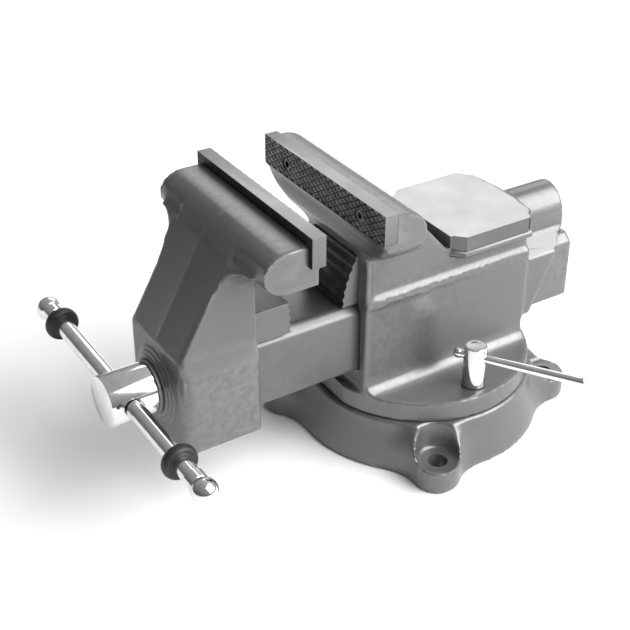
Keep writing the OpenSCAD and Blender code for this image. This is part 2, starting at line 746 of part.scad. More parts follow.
module moving_jaw() color("dimgray") {
    inner = slide_half - slide_wall;
    difference() {
        jaw_form();
        // The channel inside the slide, open below
        along(column_rear, 2 * slide_tail) polygon(both_sides([
            [inner, slide_bottom - slide_wall], [inner, slide_top - slide_roof - slide_bevel / 2],
            [inner - slide_bevel / 2, slide_top - slide_roof]]));
        at_screws() screw_hole(front_face, 1);
        // The screw's bore
        translate([0, 0, screw_height]) round_x(hub_face, 0, shaft_radius + shaft_gap);
    }
}

module front_jaw_plate() color("dimgray") jaw_plate(front_face, 1);

module front_plate_screws() color("silver") at_screws() plate_screw(front_face, 1);

module front_pipe_jaw() color("gray") across(2 * front_pipe_half) polygon(pipe_outline(
    column_rear, front_face - pipe_setback, slide_top + slide_gap, front_pipe_height, front_pipe_teeth,
    tooth_depth));

// The screw's thread as a row of ridges: crest, flank, root and flank in each pitch
function thread_outline(from, to) =
    let (turns = floor((to - from) / thread_pitch), root = shaft_radius - thread_depth)
    [for (i = [0:turns - 1], p = [[0, 0], [0.15, 1], [0.45, 1], [0.6, 0]])
        [root + thread_depth * p[1], from + (i + p[0]) * thread_pitch]];

module spindle() color("silver") {
    plain_end = hub_rear + plain_length;
    difference() {
        translate([0, 0, screw_height]) round_x(hub_face, hub_rear, hub_radius);
        translate([bar_x, 0, screw_height]) round_y(-2 * hub_radius, 2 * hub_radius, bar_radius + bar_gap);
    }
    difference() {
        translate([0, 0, screw_height]) {
            round_x(hub_rear, plain_end, shaft_radius);
            translate([plain_end, 0, 0]) rotate([0, 90, 0]) rotate_extrude($fn = fine) polygon(concat(
                [[0, -thread_pitch]], [[shaft_radius - thread_depth, -thread_pitch]],
                thread_outline(0, screw_tail - plain_end),
                [[shaft_radius - thread_depth, screw_tail - plain_end], [0, screw_tail - plain_end]]));
        }
        translate([column_rear + swivel_gap + retainer_width / 2, 0, 0])
            upright(0, jaw_top, retainer_pin_radius + shaft_gap);
    }
}

module thrust_washer() color("silver") translate([0, 0, screw_height]) difference() {
    round_x(thrust_face, thrust_face + thrust_thickness, thrust_radius);
    round_x(hub_face, 0, shaft_radius + shaft_gap);
}

module spindle_retainer() color("gray") difference() {
    translate([0, 0, screw_height])
        round_x(column_rear + swivel_gap, column_rear + swivel_gap + retainer_width, retainer_radius);
    translate([0, 0, screw_height]) round_x(hub_face, 0, shaft_radius + shaft_gap);
    translate([column_rear + swivel_gap + retainer_width / 2, 0, 0])
        upright(0, jaw_top, retainer_pin_radius + shaft_gap);
}

module retainer_pin() color("silver") translate([column_rear + swivel_gap + retainer_width / 2, 0, 0])
    upright(screw_height - retainer_radius + swivel_gap, screw_height + retainer_radius - swivel_gap,
        retainer_pin_radius);

// Where the handle bar's middle lies
module at_bar() translate([bar_x, bar_shift, screw_height]) children();

module handle_bar() color("silver") at_bar() round_y(-bar_length / 2, bar_length / 2, bar_radius);

// An end cap of the handle: a neck over the bar, and a round end
module handle_cap() {
    start = bar_length / 2 - cap_socket;
    rotate([-90, 0, 0]) rotate_extrude($fn = fine) polygon(concat(
        [[0, bar_length / 2], [bar_radius + shaft_gap, bar_length / 2], [bar_radius + shaft_gap, start],
         [cap_radius, start]],
        arc(0, start + cap_length - cap_rim, cap_rim, -acos(cap_radius / cap_rim), 90)));
}

module handle_cap_far() color("silver") at_bar() handle_cap();

module handle_cap_near() color("silver") at_bar() mirror([0, 1, 0]) handle_cap();

// A rubber bumper round the bar, with rounded shoulders
module bumper(middle) translate([0, middle, 0]) rotate([-90, 0, 0]) rotate_extrude($fn = fine)
    polygon(concat(
        [[bar_radius + shaft_gap, bumper_width / 2], [bar_radius + shaft_gap, -bumper_width / 2]],
        oval(bumper_radius - bumper_width / 3, 0, bumper_width / 3, bumper_width / 2, -90, 90)));

module bumper_far_side() color("black") at_bar() bumper(bar_length / 2 - bumper_far_inset);

module bumper_near_side() color("black") at_bar() bumper(bumper_near_inset - bar_length / 2);

// A lock bolt with its drilled head and plain shank
module lock_bolt(side, turn) at_lock(side) difference() {
    union() {
        upright(flange_top + swivel_gap, flange_top + lock_height, lock_radius);
        upright(clamp_bottom, flange_top + 2 * swivel_gap, lock_shank);
    }
    translate([0, 0, lock_bar_level]) rotate(turn - 90)
        round_y(-2 * lock_radius, 2 * lock_radius, lock_bar_radius + lock_bar_gap);
}

// A lock bar with a round stop at its short end and a flared tip at its long end
module lock_bar(side, turn) at_lock(side) translate([0, 0, lock_bar_level]) rotate(turn - 90) {
    round_y(-lock_bar_short, lock_bar_long - lock_tip_radius, lock_bar_radius);
    translate([0, -lock_bar_short, 0]) sphere(lock_stop_radius, $fn = round_fn);
    round_y(lock_bar_long - lock_tip_radius, lock_bar_long, lock_tip_radius);
}

// A clamp nut in the groove, drilled for the lock bolt's shank
module clamp_nut(side) at_lock(side) difference() {
    translate([-clamp_length, -clamp_half, clamp_bottom])
        cube([2 * clamp_length, 2 * clamp_half, clamp_height]);
    upright(0, base_height, lock_shank + lock_gap);
}

module near_lock_bolt() color("silver") lock_bolt(-1, lock_bar_turn);

module near_lock_bar() color("silver") lock_bar(-1, lock_bar_turn);

module near_clamp_nut() color("gray") clamp_nut(-1);

module far_lock_bolt() color("silver") lock_bolt(1, 180 + lock_bar_turn);

module far_lock_bar() color("silver") lock_bar(1, 180 + lock_bar_turn);

module far_clamp_nut() color("gray") clamp_nut(1);

swivel_base();
vise_body();
rear_jaw_plate();
rear_plate_screws();
rear_pipe_jaw();
pivot_bolt();
pivot_washer();
spindle_nut();
nut_bolt();
moving_jaw();
front_jaw_plate();
front_plate_screws();
front_pipe_jaw();
spindle();
thrust_washer();
spindle_retainer();
retainer_pin();
handle_bar();
handle_cap_far();
handle_cap_near();
bumper_far_side();
bumper_near_side();
near_lock_bolt();
near_lock_bar();
near_clamp_nut();
far_lock_bolt();
far_lock_bar();
far_clamp_nut();
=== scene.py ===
"""Swivel bench vise: cast base, body and moving jaw, cut jaw plates, screw, handle and lock bolts.
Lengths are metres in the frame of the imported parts: Z is up, and the handle is at -X."""
import math

import bmesh
import bpy
import numpy as np
from mathutils import Matrix, Vector, noise
from mathutils.bvhtree import BVHTree
from mathutils.kdtree import KDTree


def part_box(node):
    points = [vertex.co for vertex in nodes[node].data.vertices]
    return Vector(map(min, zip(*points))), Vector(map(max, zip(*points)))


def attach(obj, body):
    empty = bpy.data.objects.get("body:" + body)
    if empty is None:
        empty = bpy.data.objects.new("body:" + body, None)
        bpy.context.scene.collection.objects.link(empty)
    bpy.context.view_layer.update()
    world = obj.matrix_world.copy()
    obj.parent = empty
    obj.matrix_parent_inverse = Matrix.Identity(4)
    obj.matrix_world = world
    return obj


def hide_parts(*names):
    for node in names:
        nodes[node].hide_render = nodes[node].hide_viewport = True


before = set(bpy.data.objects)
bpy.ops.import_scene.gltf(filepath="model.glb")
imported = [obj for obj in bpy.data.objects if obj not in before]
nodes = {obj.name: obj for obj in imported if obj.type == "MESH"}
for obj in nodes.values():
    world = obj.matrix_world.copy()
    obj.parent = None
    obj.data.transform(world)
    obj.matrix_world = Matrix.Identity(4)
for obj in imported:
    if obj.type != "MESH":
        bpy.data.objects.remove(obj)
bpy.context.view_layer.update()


# Camera. It stands off the vise's front left corner, a little over a metre away, and looks down
# on the jaws. Its turn, tilt and roll, and the pixel of its axis, are those of the photograph.
camera_place = (-0.55203, -0.70630, 0.64958)
camera_turn = math.radians(-33.557)
camera_tilt = math.radians(30.341)
camera_roll = math.radians(0.815)
frame_pixels = 630
focal_pixels = 1262.0
axis_pixel = (335.39, 269.04)

camera = bpy.data.objects.new("camera", bpy.data.cameras.new("camera"))
bpy.context.scene.collection.objects.link(camera)
bpy.context.scene.camera = camera
camera_back = Vector((math.sin(camera_turn) * math.cos(camera_tilt),
                      -math.cos(camera_turn) * math.cos(camera_tilt), math.sin(camera_tilt)))
level_side = Vector((math.cos(camera_turn), math.sin(camera_turn), 0))
level_up = camera_back.cross(level_side)
camera_side = level_side * math.cos(camera_roll) + level_up * math.sin(camera_roll)
camera_up = level_up * math.cos(camera_roll) - level_side * math.sin(camera_roll)
camera.matrix_world = Matrix.LocRotScale(
    Vector(camera_place), Matrix((camera_side, camera_up, camera_back)).transposed(), None)
camera.data.lens = camera.data.sensor_width * focal_pixels / frame_pixels
camera.data.shift_x = 0.5 - axis_pixel[0] / frame_pixels
camera.data.shift_y = axis_pixel[1] / frame_pixels - 0.5
camera.data.clip_end = 20


# Studio. A pale floor, a room that is dim at the left and pale at the right and overhead, a tall
# soft light at the right, and a weaker one behind the vise.
floor_size = 12.0
floor_drop = 0.0006
floor_grey = 0.9
room_heights = ((0.0, 0.26), (0.25, 0.36), (0.6, 0.5), (1.0, 0.52))
room_sides = ((0.0, 0.35), (0.5, 0.8), (1.0, 1.45))
room_strength = 1.0
light_aim = (0, 0, 0.1)


def new_material(name):
    """An empty node material and its tree."""
    material = bpy.data.materials.new(name)
    material.use_nodes = True
    return material, material.node_tree


def put_in(tree, socket, value):
    """Gives a socket a value, or links another node's output to it."""
    if isinstance(value, bpy.types.NodeSocket):
        tree.links.new(value, socket)
    else:
        socket.default_value = value


def feed(tree, node, **inputs):
    """Gives a node its inputs, by the socket's name."""
    for name, value in inputs.items():
        put_in(tree, node.inputs[name.replace("_", " ")], value)


def node_in(tree, kind, **inputs):
    """A new node in a tree, with its inputs."""
    made = tree.nodes.new(kind)
    feed(tree, made, **inputs)
    return made


def grey_ramp(tree, value, stops):
    """A ramp over a value from (position, grey) stops, or (position, grey, blue) for a tinted one."""
    ramp = node_in(tree, "ShaderNodeValToRGB", Fac=value)
    elements = ramp.color_ramp.elements
    for step, (position, grey, *blue) in enumerate(stops):
        stop = elements[step] if step < 2 else elements.new(position)
        stop.position = position
        stop.color = (grey, grey, blue[0] if blue else grey, 1)
    return ramp.outputs["Color"]


def ranged(tree, value, to, over=(0.0, 1.0)):
    """A value whose range is stretched to another."""
    return node_in(tree, "ShaderNodeMapRange", Value=value, From_Min=over[0], From_Max=over[1],
                   To_Min=to[0], To_Max=to[1]).outputs["Result"]


def colour_mix(tree, share, under, over, blend="MIX"):
    """A colour with another laid over it by a share."""
    mix = tree.nodes.new("ShaderNodeMix")
    mix.data_type = "RGBA"
    mix.blend_type = blend
    for socket, value in zip((mix.inputs["Factor"], mix.inputs[6], mix.inputs[7]), (share, under, over)):
        put_in(tree, socket, value)
    return mix.outputs[2]


def softbox(name, place, aim, width, height, watts):
    """A soft light at a place, turned to what it lights."""
    light = bpy.data.objects.new(name, bpy.data.lights.new(name, "AREA"))
    light.data.shape = "RECTANGLE"
    light.data.size = width
    light.data.size_y = height
    light.data.energy = watts
    light.location = place
    light.rotation_mode = "QUATERNION"
    light.rotation_quaternion = (Vector(aim) - Vector(place)).to_track_quat("-Z", "Y")
    bpy.context.scene.collection.objects.link(light)


half_floor = floor_size / 2
floor_mesh = bpy.data.meshes.new("floor")
floor_mesh.from_pydata([(x * half_floor, y * half_floor, -floor_drop)
                        for x, y in ((-1, -1), (1, -1), (1, 1), (-1, 1))], [], [(0, 1, 2, 3)])
floor = bpy.data.objects.new("floor", floor_mesh)
bpy.context.scene.collection.objects.link(floor)
floor_paint, floor_tree = new_material("floor paint")
feed(floor_tree, floor_tree.nodes["Principled BSDF"], Base_Color=(floor_grey, floor_grey, floor_grey, 1),
     Roughness=0.9, Specular_IOR_Level=0.1)
floor_mesh.materials.append(floor_paint)

room = bpy.data.worlds.new("room")
bpy.context.scene.world = room
room.use_nodes = True
room_tree = room.node_tree
sky_place = node_in(room_tree, "ShaderNodeTexCoord").outputs["Generated"]
sky_parts = node_in(room_tree, "ShaderNodeSeparateXYZ", Vector=sky_place).outputs
room_light = colour_mix(
    room_tree, 1.0, grey_ramp(room_tree, sky_parts["Z"], room_heights),
    grey_ramp(room_tree, ranged(room_tree, sky_parts["X"], (0.0, 1.0), (-1.0, 1.0)), room_sides), "MULTIPLY")
feed(room_tree, room_tree.nodes["Background"], Color=room_light, Strength=room_strength)

softbox("right light", (1.38, -1.70, 1.98), light_aim, width=3.0, height=3.1, watts=195)
softbox("back light", (1.9, 2.5, 2.1), light_aim, width=2.4, height=1.8, watts=24)
bpy.context.scene.view_settings.view_transform = "Standard"


# Swivel base. A round grey iron casting with four lugs, whose flanks flare into the wall. It is
# cast in sand, enamelled, and spot-faced over each lug for the bolts that hold it to the bench.
base_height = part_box("swivel_base")[1].z
wall_levels = (0.0, 0.005, 0.0335, base_height)
wall_radii = (0.105, 0.105, 0.0967, 0.095)
lug_circle = 0.113
lug_radius = 0.018
lug_height = 0.019
lug_root = 0.077
lug_root_radius = 0.0235
lug_turn = math.radians(-27)
lug_blend = 0.022
lug_hole = 0.008
level_step = 0.0015
base_voxel = 0.0014
scoop_radius = 0.0168
scoop_top_radius = 0.0235
groove_circle = 0.0765
groove_neck = 0.007
groove_half = 0.0125
groove_lip = 0.0085
groove_floor = 0.016
recess_rings = (0.031, 0.058)
recess_height = 0.026
pocket_radius = 0.024
pocket_height = 0.020
pivot_bore = 0.01006
overrun = 0.004
enamel_grey = 0.155
flare_share = 0.6
flare_rings = 9


def new_piece(name, shape, turn=None):
    """A finished shape as an object in the scene, moved by a matrix."""
    if turn is not None:
        shape.transform(turn)
    mesh = bpy.data.meshes.new(name)
    shape.to_mesh(mesh)
    shape.free()
    piece = bpy.data.objects.new(name, mesh)
    bpy.context.scene.collection.objects.link(piece)
    return piece


def bake(piece):
    """Turns a piece's modifiers into plain mesh."""
    graph = bpy.context.evaluated_depsgraph_get()
    finished = bpy.data.meshes.new_from_object(piece.evaluated_get(graph))
    piece.modifiers.clear()
    before = piece.data
    piece.data = finished
    bpy.data.meshes.remove(before)


def combine(piece, tool, operation):
    """Cuts a piece with a tool, or joins or limits it to the tool, and removes the tool."""
    step = piece.modifiers.new("combine", "BOOLEAN")
    step.solver = "MANIFOLD"
    step.operation = operation
    step.object = tool
    bake(piece)
    bpy.data.objects.remove(tool)


def cut(piece, *tools):
    """Machines a piece with each tool in turn."""
    for tool in tools:
        combine(piece, tool, "DIFFERENCE")


def loft(name, rings, turn=None, closed=False):
    """A solid through rings of points, where a tip is a ring of one point. It has flat ends, or
    its last ring is joined to its first."""
    shape = bmesh.new()
    rings = [[shape.verts.new(point) for point in ring] for ring in rings]
    if closed:
        rings.append(rings[0])
    around = max(map(len, rings))
    for low, high in zip(rings, rings[1:]):
        for k in range(around):
            n = (k + 1) % around
            corners = [low[k % len(low)], low[n % len(low)], high[n % len(high)], high[k % len(high)]]
            shape.faces.new(list(dict.fromkeys(corners)))
    for ring in (rings[0], rings[-1]):
        if not closed and len(ring) > 2:
            shape.faces.new(ring)
    bmesh.ops.recalc_face_normals(shape, faces=shape.faces)
    return new_piece(name, shape, turn)


def lathe(name, profile, turn=None, segments=96):
    """A solid of revolution about Z from (radius, height) points, moved by a matrix."""
    angles = [2 * math.pi * k / segments for k in range(segments)]
    rings = [[(radius * math.cos(a), radius * math.sin(a), height)
              for a in (angles if radius > 1e-7 else [0])] for radius, height in profile]
    return loft(name, rings, turn, closed=len(rings[0]) > 1)


def blended(near, far, width):
    """The union of two distance fields with a fillet of about that width."""
    share = np.clip(0.5 + 0.5 * (far - near) / width, 0, 1)
    return far + (near - far) * share - width * share * (1 - share)


def base_outline(level, bearings):
    """The base's radius at a level for each bearing: the wall, and lugs that flare into it."""
    wall = np.interp(level, wall_levels, wall_radii)
    rise = min(max((level - lug_height) / (base_height - lug_height), 0), 1)
    tip = lug_circle + (lug_root - lug_circle) * rise
    tip_radius = lug_radius + (lug_root_radius - lug_radius) * rise * flare_share
    low = np.full(len(bearings), wall * 0.9)
    high = np.full(len(bearings), lug_circle + 3 * lug_radius)
    for _ in range(26):
        reach = (low + high) / 2
        x, y = reach * np.cos(bearings), reach * np.sin(bearings)
        field = reach - wall
        for k in range(4):
            bearing = lug_turn + k * math.pi / 2
            lug = np.full(len(bearings), 1.0)
            for share in np.linspace(0, 1, flare_rings):
                middle = tip + (lug_root - tip) * share
                radius = tip_radius + (lug_root_radius - tip_radius) * share
                away = np.hypot(x - middle * math.cos(bearing), y - middle * math.sin(bearing))
                lug = np.minimum(lug, away - radius)
            field = blended(field, lug, lug_blend * (1 - 0.55 * rise))
        inside = field < 0
        low = np.where(inside, reach, low)
        high = np.where(inside, high, reach)
    return low


def base_form():
    """The base's casting as a stack of outlines, closed flat at the top and the bottom."""
    bearings = np.linspace(0, 2 * math.pi, 720, endpoint=False)
    levels = np.concatenate([[0, 0.0025], np.arange(0.005, lug_height, 0.0035),
                             np.arange(lug_height, base_height - 0.0005, level_step), [base_height]])
    return loft("base_casting", [[(r * math.cos(b), r * math.sin(b), level)
                                  for r, b in zip(base_outline(level, bearings), bearings)]
                                 for level in levels])


def at_lugs():
    """The place of each bench bolt, as a matrix."""
    return [Matrix.Rotation(lug_turn + k * math.pi / 2, 4, "Z") @ Matrix.Translation((lug_circle, 0, 0))
            for k in range(4)]


def links_of(mesh):
    """The two ends of each edge, and how many edges meet at each point."""
    ends = np.empty(len(mesh.edges) * 2, np.int32)
    mesh.edges.foreach_get("vertices", ends)
    return ends[0::2], ends[1::2], np.maximum(np.bincount(ends, minlength=len(mesh.vertices)), 1)


def points_of(mesh):
    """The place of each point, a row each."""
    flat = np.empty(len(mesh.vertices) * 3)
    mesh.vertices.foreach_get("co", flat)
    return flat.reshape(-1, 3)


def beside(values, one, other):
    """The sum of a value over each point's neighbours."""
    return np.bincount(one, values[other], len(values)) + np.bincount(other, values[one], len(values))


def pull_of(mesh, place, one, other, degree):
    """The way from each point to its neighbours' middle, and how far outward that leads."""
    across = np.empty(place.size)
    mesh.vertex_normals.foreach_get("vector", across)
    total = np.stack([beside(place[:, k], one, other) for k in range(3)], 1)
    pull = total / degree[:, None] - place
    return pull, (pull * across.reshape(-1, 3)).sum(1)


def soften(piece, passes, hollow=0.5, crown=0.5, zone=None):
    """Rounds a casting's skin: inner corners by one share in each pass, outer edges by another.
    A zone, two corners with the width taken as |y|, keeps it to a part of the casting."""
    mesh = piece.data
    links = links_of(mesh)
    place = points_of(mesh)
    mask = np.ones(len(place))
    if zone is not None:
        spots = np.column_stack((place[:, 0], np.abs(place[:, 1]), place[:, 2]))
        mask = ((spots > zone[0]) & (spots < zone[1])).all(1).astype(float)
    for _ in range(passes):
        pull, outward = pull_of(mesh, place, *links)
        place += pull * (np.where(outward > 0, hollow, crown) * mask)[:, None]
        mesh.vertices.foreach_set("co", place.ravel())
        mesh.update()


def cast(piece, voxel, passes, crown=0.05):
    """Gives a form the even skin of a sand casting, with fillets in its corners."""
    step = piece.modifiers.new("skin", "REMESH")
    step.mode = "VOXEL"
    step.voxel_size = voxel
    bake(piece)
    soften(piece, 3)
    soften(piece, passes, crown=crown)


def thin_out(piece):
    """Joins the faces of a casting's flats."""
    step = piece.modifiers.new("flats", "DECIMATE")
    step.decimate_type = "DISSOLVE"
    step.angle_limit = math.radians(0.35)
    bake(piece)


def mark_edges(piece, reach=0.00012):
    """Keeps how sharply a casting's skin bends at each point: crown outward, hollow inward."""
    mesh = piece.data
    one, other, degree = links_of(mesh)
    _, outward = pull_of(mesh, points_of(mesh), one, other, degree)
    for name, bend in (("crown", -outward), ("hollow", outward)):
        values = np.clip(bend / reach, 0, 1)
        for _ in range(2):
            values = 0.5 * values + 0.5 * beside(values, one, other) / degree
        kept = mesh.attributes.new(name, "FLOAT", "POINT")
        kept.data.foreach_set("value", values.astype(np.float32))


def smooth_but_edges(piece, angle=32):
    """Smooth shading that breaks at machined edges."""
    mesh = piece.data
    mesh.shade_smooth()
    mesh.set_sharp_from_angle(angle=math.radians(angle))


def new_tree(name, kind, given, left):
    """A node group and its inputs, from the names and the kinds of its sockets."""
    tree = bpy.data.node_groups.new(name, kind)
    for way, sockets in (("INPUT", given), ("OUTPUT", left)):
        for socket, socket_kind in sockets.items():
            tree.interface.new_socket(socket, in_out=way, socket_type="NodeSocket" + socket_kind)
    return tree, node_in(tree, "NodeGroupInput").outputs


def worked(tree, operation, one, other=0.0):
    """What comes of two values in a tree."""
    step = tree.nodes.new("ShaderNodeMath")
    step.operation = operation
    put_in(tree, step.inputs[0], one)
    put_in(tree, step.inputs[1], other)
    return step.outputs["Value"]


def own_place(tree):
    """A point's place on the object."""
    return node_in(tree, "ShaderNodeTexCoord").outputs["Object"]


def speckle(tree, place, scale, detail, roughness=0.5):
    """Noise over a place."""
    return node_in(tree, "ShaderNodeTexNoise", Vector=place, Scale=scale, Detail=detail,
                   Roughness=roughness).outputs["Fac"]


def grain_group():
    """Sand-cast skin under enamel: an uneven height, and blotches in the colour."""
    tree, given = new_tree("casting grain", "ShaderNodeTree", {"Fineness": "Float"},
                           {"Height": "Float", "Blotches": "Float"})
    place = own_place(tree)
    coarse = speckle(tree, place, given["Fineness"], 3.0, 0.6)
    fine = speckle(tree, place, worked(tree, "MULTIPLY", given["Fineness"], 4.5), 2.0)
    height = node_in(tree, "ShaderNodeMix", Factor=0.4, A=coarse, B=fine)
    node_in(tree, "NodeGroupOutput", Height=height.outputs["Result"],
            Blotches=speckle(tree, place, 26.0, 4.0, 0.55))
    return tree


def shade_and_wear_group():
    """Paler edges, partly worn paint and partly a painted highlight, and painted shade in a casting's
    corners, broken up by noise.
    """
    tree, _ = new_tree("edges and corners", "ShaderNodeTree", {}, {"Wear And Highlight": "Float", "Painted Shade": "Float"})
    broken = ranged(tree, speckle(tree, own_place(tree), 160.0, 3.0), (0.0, 1.0), (0.3, 0.6))
    marks = {}
    for kept, name in (("crown", "Wear And Highlight"), ("hollow", "Painted Shade")):
        bend = node_in(tree, "ShaderNodeAttribute")
        bend.attribute_name = kept
        marks[name] = worked(tree, "MULTIPLY", bend.outputs["Fac"], broken)
    node_in(tree, "NodeGroupOutput", **marks)
    return tree


casting_grain = grain_group()
casting_shade_and_wear = shade_and_wear_group()


def coat(tree, tone, metallic, gloss, height, strength, distance):
    """Gives a material's shader its colour, its roughness and its relief."""
    relief = node_in(tree, "ShaderNodeBump", Height=height, Strength=strength, Distance=distance)
    feed(tree, tree.nodes["Principled BSDF"], Base_Color=tone, Metallic=metallic, Roughness=gloss,
         Normal=relief.outputs["Normal"])


def enamel(name, grey, fineness=1300.0, relief=0.00004, roughness=0.33):
    """Grey enamel with metal flakes over a sand casting, paler on its edges, partly as worn paint and partly
    as a painted highlight, and darker in its corners as painted shade.
    """
    material, tree = new_material(name)
    grain = node_in(tree, "ShaderNodeGroup")
    grain.node_tree = casting_grain
    feed(tree, grain, Fineness=fineness)
    shade_and_wear = node_in(tree, "ShaderNodeGroup")
    shade_and_wear.node_tree = casting_shade_and_wear
    tone = grey_ramp(tree, grain.outputs["Blotches"], ((0.3, grey * 0.97), (0.7, grey * 1.03)))
    # The edges are made paler, partly as worn paint and partly as a painted highlight; the corners are made
    # darker, as painted shade.
    for mark, share in (("Wear And Highlight", 1.35), ("Painted Shade", 0.7)):
        tone = colour_mix(tree, shade_and_wear.outputs[mark], tone, (grey * share, grey * share, grey * share, 1))
    gloss = ranged(tree, grain.outputs["Blotches"], (roughness - 0.01, roughness + 0.02))
    coat(tree, tone, 0.6, gloss, grain.outputs["Height"], 0.35, relief)
    return material


def finish_in(piece, *materials):
    """Gives a piece its materials, the first one everywhere."""
    piece.data.materials.clear()
    for material in materials:
        piece.data.materials.append(material)
    piece.data.polygons.foreach_set("material_index", np.zeros(len(piece.data.polygons), np.int32))


def fit(piece, body, node, slot, *materials):
    """Finishes a piece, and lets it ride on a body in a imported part's place."""
    if materials:
        finish_in(piece, *materials)
    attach(piece, body)
    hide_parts(node)


def ring_tool(inner, outer, low, high):
    """A tool that cuts a round groove."""
    return lathe("tool", [(inner, low), (outer, low), (outer, high), (inner, high)])


def drill(place, radius, low, high, top_radius=None):
    """A tool that drills or countersinks upright at a place."""
    end = radius if top_radius is None else top_radius
    return lathe("tool", [(0, low), (radius, low), (end, high), (0, high)], place)


base_casting = base_form()
cut(base_casting, *[drill(place, scoop_radius, lug_height, lug_height + base_height, scoop_top_radius)
                    for place in at_lugs()])
cast(base_casting, base_voxel, 10, crown=0.06)
thin_out(base_casting)
cut(base_casting, *[drill(place, lug_hole, -overrun, base_height) for place in at_lugs()])
cut(base_casting,
    ring_tool(groove_circle - groove_neck, groove_circle + groove_neck,
              groove_floor, base_height + overrun),
    ring_tool(groove_circle - groove_half, groove_circle + groove_half,
              groove_floor, base_height - groove_lip),
    ring_tool(*recess_rings, -overrun, recess_height),
    drill(Matrix.Identity(4), pocket_radius, -overrun, pocket_height),
    drill(Matrix.Identity(4), pivot_bore, -overrun, base_height + overrun))
mark_edges(base_casting)
smooth_but_edges(base_casting)
fit(base_casting, "base", "swivel_base", "base_enamel", enamel("base enamel", enamel_grey))


# Body. One grey iron casting with the fixed jaw's head, two side walls on a round flange, the
# passage for the slide, the anvil and the round tail. It is enamelled; the seats and the anvil
# are milled, so that their edges are crisp.
body_low, body_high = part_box("vise_body")
slide_half = 0.033
slide_gap = 0.0005
slide_bevel = 0.0065
slide_bottom = 0.077
slide_top = 0.1365
wall_half = 0.042
ridge_levels = (0.133, 0.147)
ridge_lump = 0.0006
ridge_lump_size = 0.0026
anvil_half = 0.048
anvil_front = -0.003
anvil_rear = 0.071
anvil_bevel = 0.0105
anvil_top = 0.1775
anvil_bottom = 0.165
milling_allowance = 0.0016
milled_half = 0.06
milled_rear = 0.09
milled_room = 0.02
moulding_radius = 0.0035
moulding_stand = 0.0012
moulding_lap = 0.0015
moulding_run = 0.003
moulding_foot = 0.1572
moulding_reach = 0.056
screw_offset = 0.050
screw_level = (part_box("rear_plate_screws")[0].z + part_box("rear_plate_screws")[1].z) / 2
jaw_half = 0.0825
fixed_head_top = 0.2375
under_fixed_head = ((-0.1, 0.056, 0.176), (-0.03, 0.0815, 0.216))
hollow_outline = ((anvil_front, 0.1674), (-0.0062, 0.1674), (-0.0283, 0.193), (-0.0225, 0.2105),
                  (anvil_front, 0.2105))
hollow_half = 0.06
casting_voxel = 0.0015
casting_passes = 14
spot_circle = 0.0765
spot_radius = 0.0185
spot_levels = (0.0591, 0.09)
tail_margin = 0.05
ridge_margin = 0.004
ridge_front = -0.084
plug_radius = 0.0042
plug_depth = 0.02
tapped_radius = 0.0037
tapped_depth = 0.0145
hole_lead = 0.001
rabbet_lap = 0.002
mill_reach = 0.012
mill_skim = 0.0001


def shell_of(node):
    """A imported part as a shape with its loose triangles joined."""
    shell = bmesh.new()
    shell.from_mesh(nodes[node].data)
    bmesh.ops.remove_doubles(shell, verts=shell.verts, dist=1e-6)
    return shell


def join_flats(shell):
    """Joins the triangles of each of a shape's flats."""
    bmesh.ops.dissolve_limit(shell, angle_limit=math.radians(0.5), verts=shell.verts, edges=shell.edges)


def settle(piece, node, near=0.0003, reach=0.0006, clear=0.0022):
    """Draws a casting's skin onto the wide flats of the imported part, away from their edges."""
    shell = shell_of(node)
    join_flats(shell)
    rims = []
    for edge in shell.edges:
        one, other = (vertex.co for vertex in edge.verts)
        steps = max(int(edge.calc_length() / 0.001), 1)
        rims += [one.lerp(other, k / steps) for k in range(steps + 1)]
    edges = KDTree(len(rims))
    for k, spot in enumerate(rims):
        edges.insert(spot, k)
    edges.balance()
    flats = BVHTree.FromBMesh(shell)
    shell.free()
    for vertex in piece.data.vertices:
        spot, _, _, away = flats.find_nearest(vertex.co, reach)
        if spot is None:
            continue
        inside = min(max((edges.find(spot)[2] - clear) / clear, 0), 1)
        vertex.co = vertex.co.lerp(spot, min(1, (reach - away) / (reach - near)) * inside)


def prism(outline, low, high, axis):
    """A tool: a closed outline of two coordinates pushed along the third axis, X, Y or Z."""
    order = {"X": (2, 0, 1), "Y": (0, 2, 1), "Z": (0, 1, 2)}[axis]
    return loft("tool", [[[(*point, level)[k] for k in order] for point in outline] for level in (low, high)])


def block(low, high):
    """A tool: a plain block between two corners."""
    return prism([(low[0], low[1]), (high[0], low[1]), (high[0], high[1]), (low[0], high[1])],
                 low[2], high[2], "Z")


def slide_section(gap):
    """The slide's section in Y and Z, grown by a gap."""
    side = slide_half + gap
    top = slide_top + gap
    return [(-side, slide_bottom - gap), (side, slide_bottom - gap), (side, top - slide_bevel),
            (side - slide_bevel, top), (slide_bevel - side, top), (-side, top - slide_bevel)]


def roughen_ridge(piece):
    """Lumps the ridge along the body's sides, where the two halves of the mould met."""
    middle = sum(ridge_levels) / 2
    for vertex in piece.data.vertices:
        x, y, z = vertex.co
        if abs(y) > wall_half - ridge_margin and ridge_levels[0] < z < ridge_levels[1] and x > ridge_front:
            share = 1 - ((z - middle) / (ridge_levels[1] - middle)) ** 2
            spot = vertex.co / ridge_lump_size
            lump = noise.noise(spot) + 0.5 * noise.noise(spot * 2.3)
            vertex.co += vertex.normal * ridge_lump * share * lump


def anvil_outline(grown):
    """The anvil from above, up to its straight sides' rear end, grown by an allowance."""
    side = anvil_half + grown
    front = anvil_front - grown
    return [(front, -side + anvil_bevel), (front + anvil_bevel, -side), (anvil_rear, -side),
            (anvil_rear, side), (front + anvil_bevel, side), (front, side - anvil_bevel)]


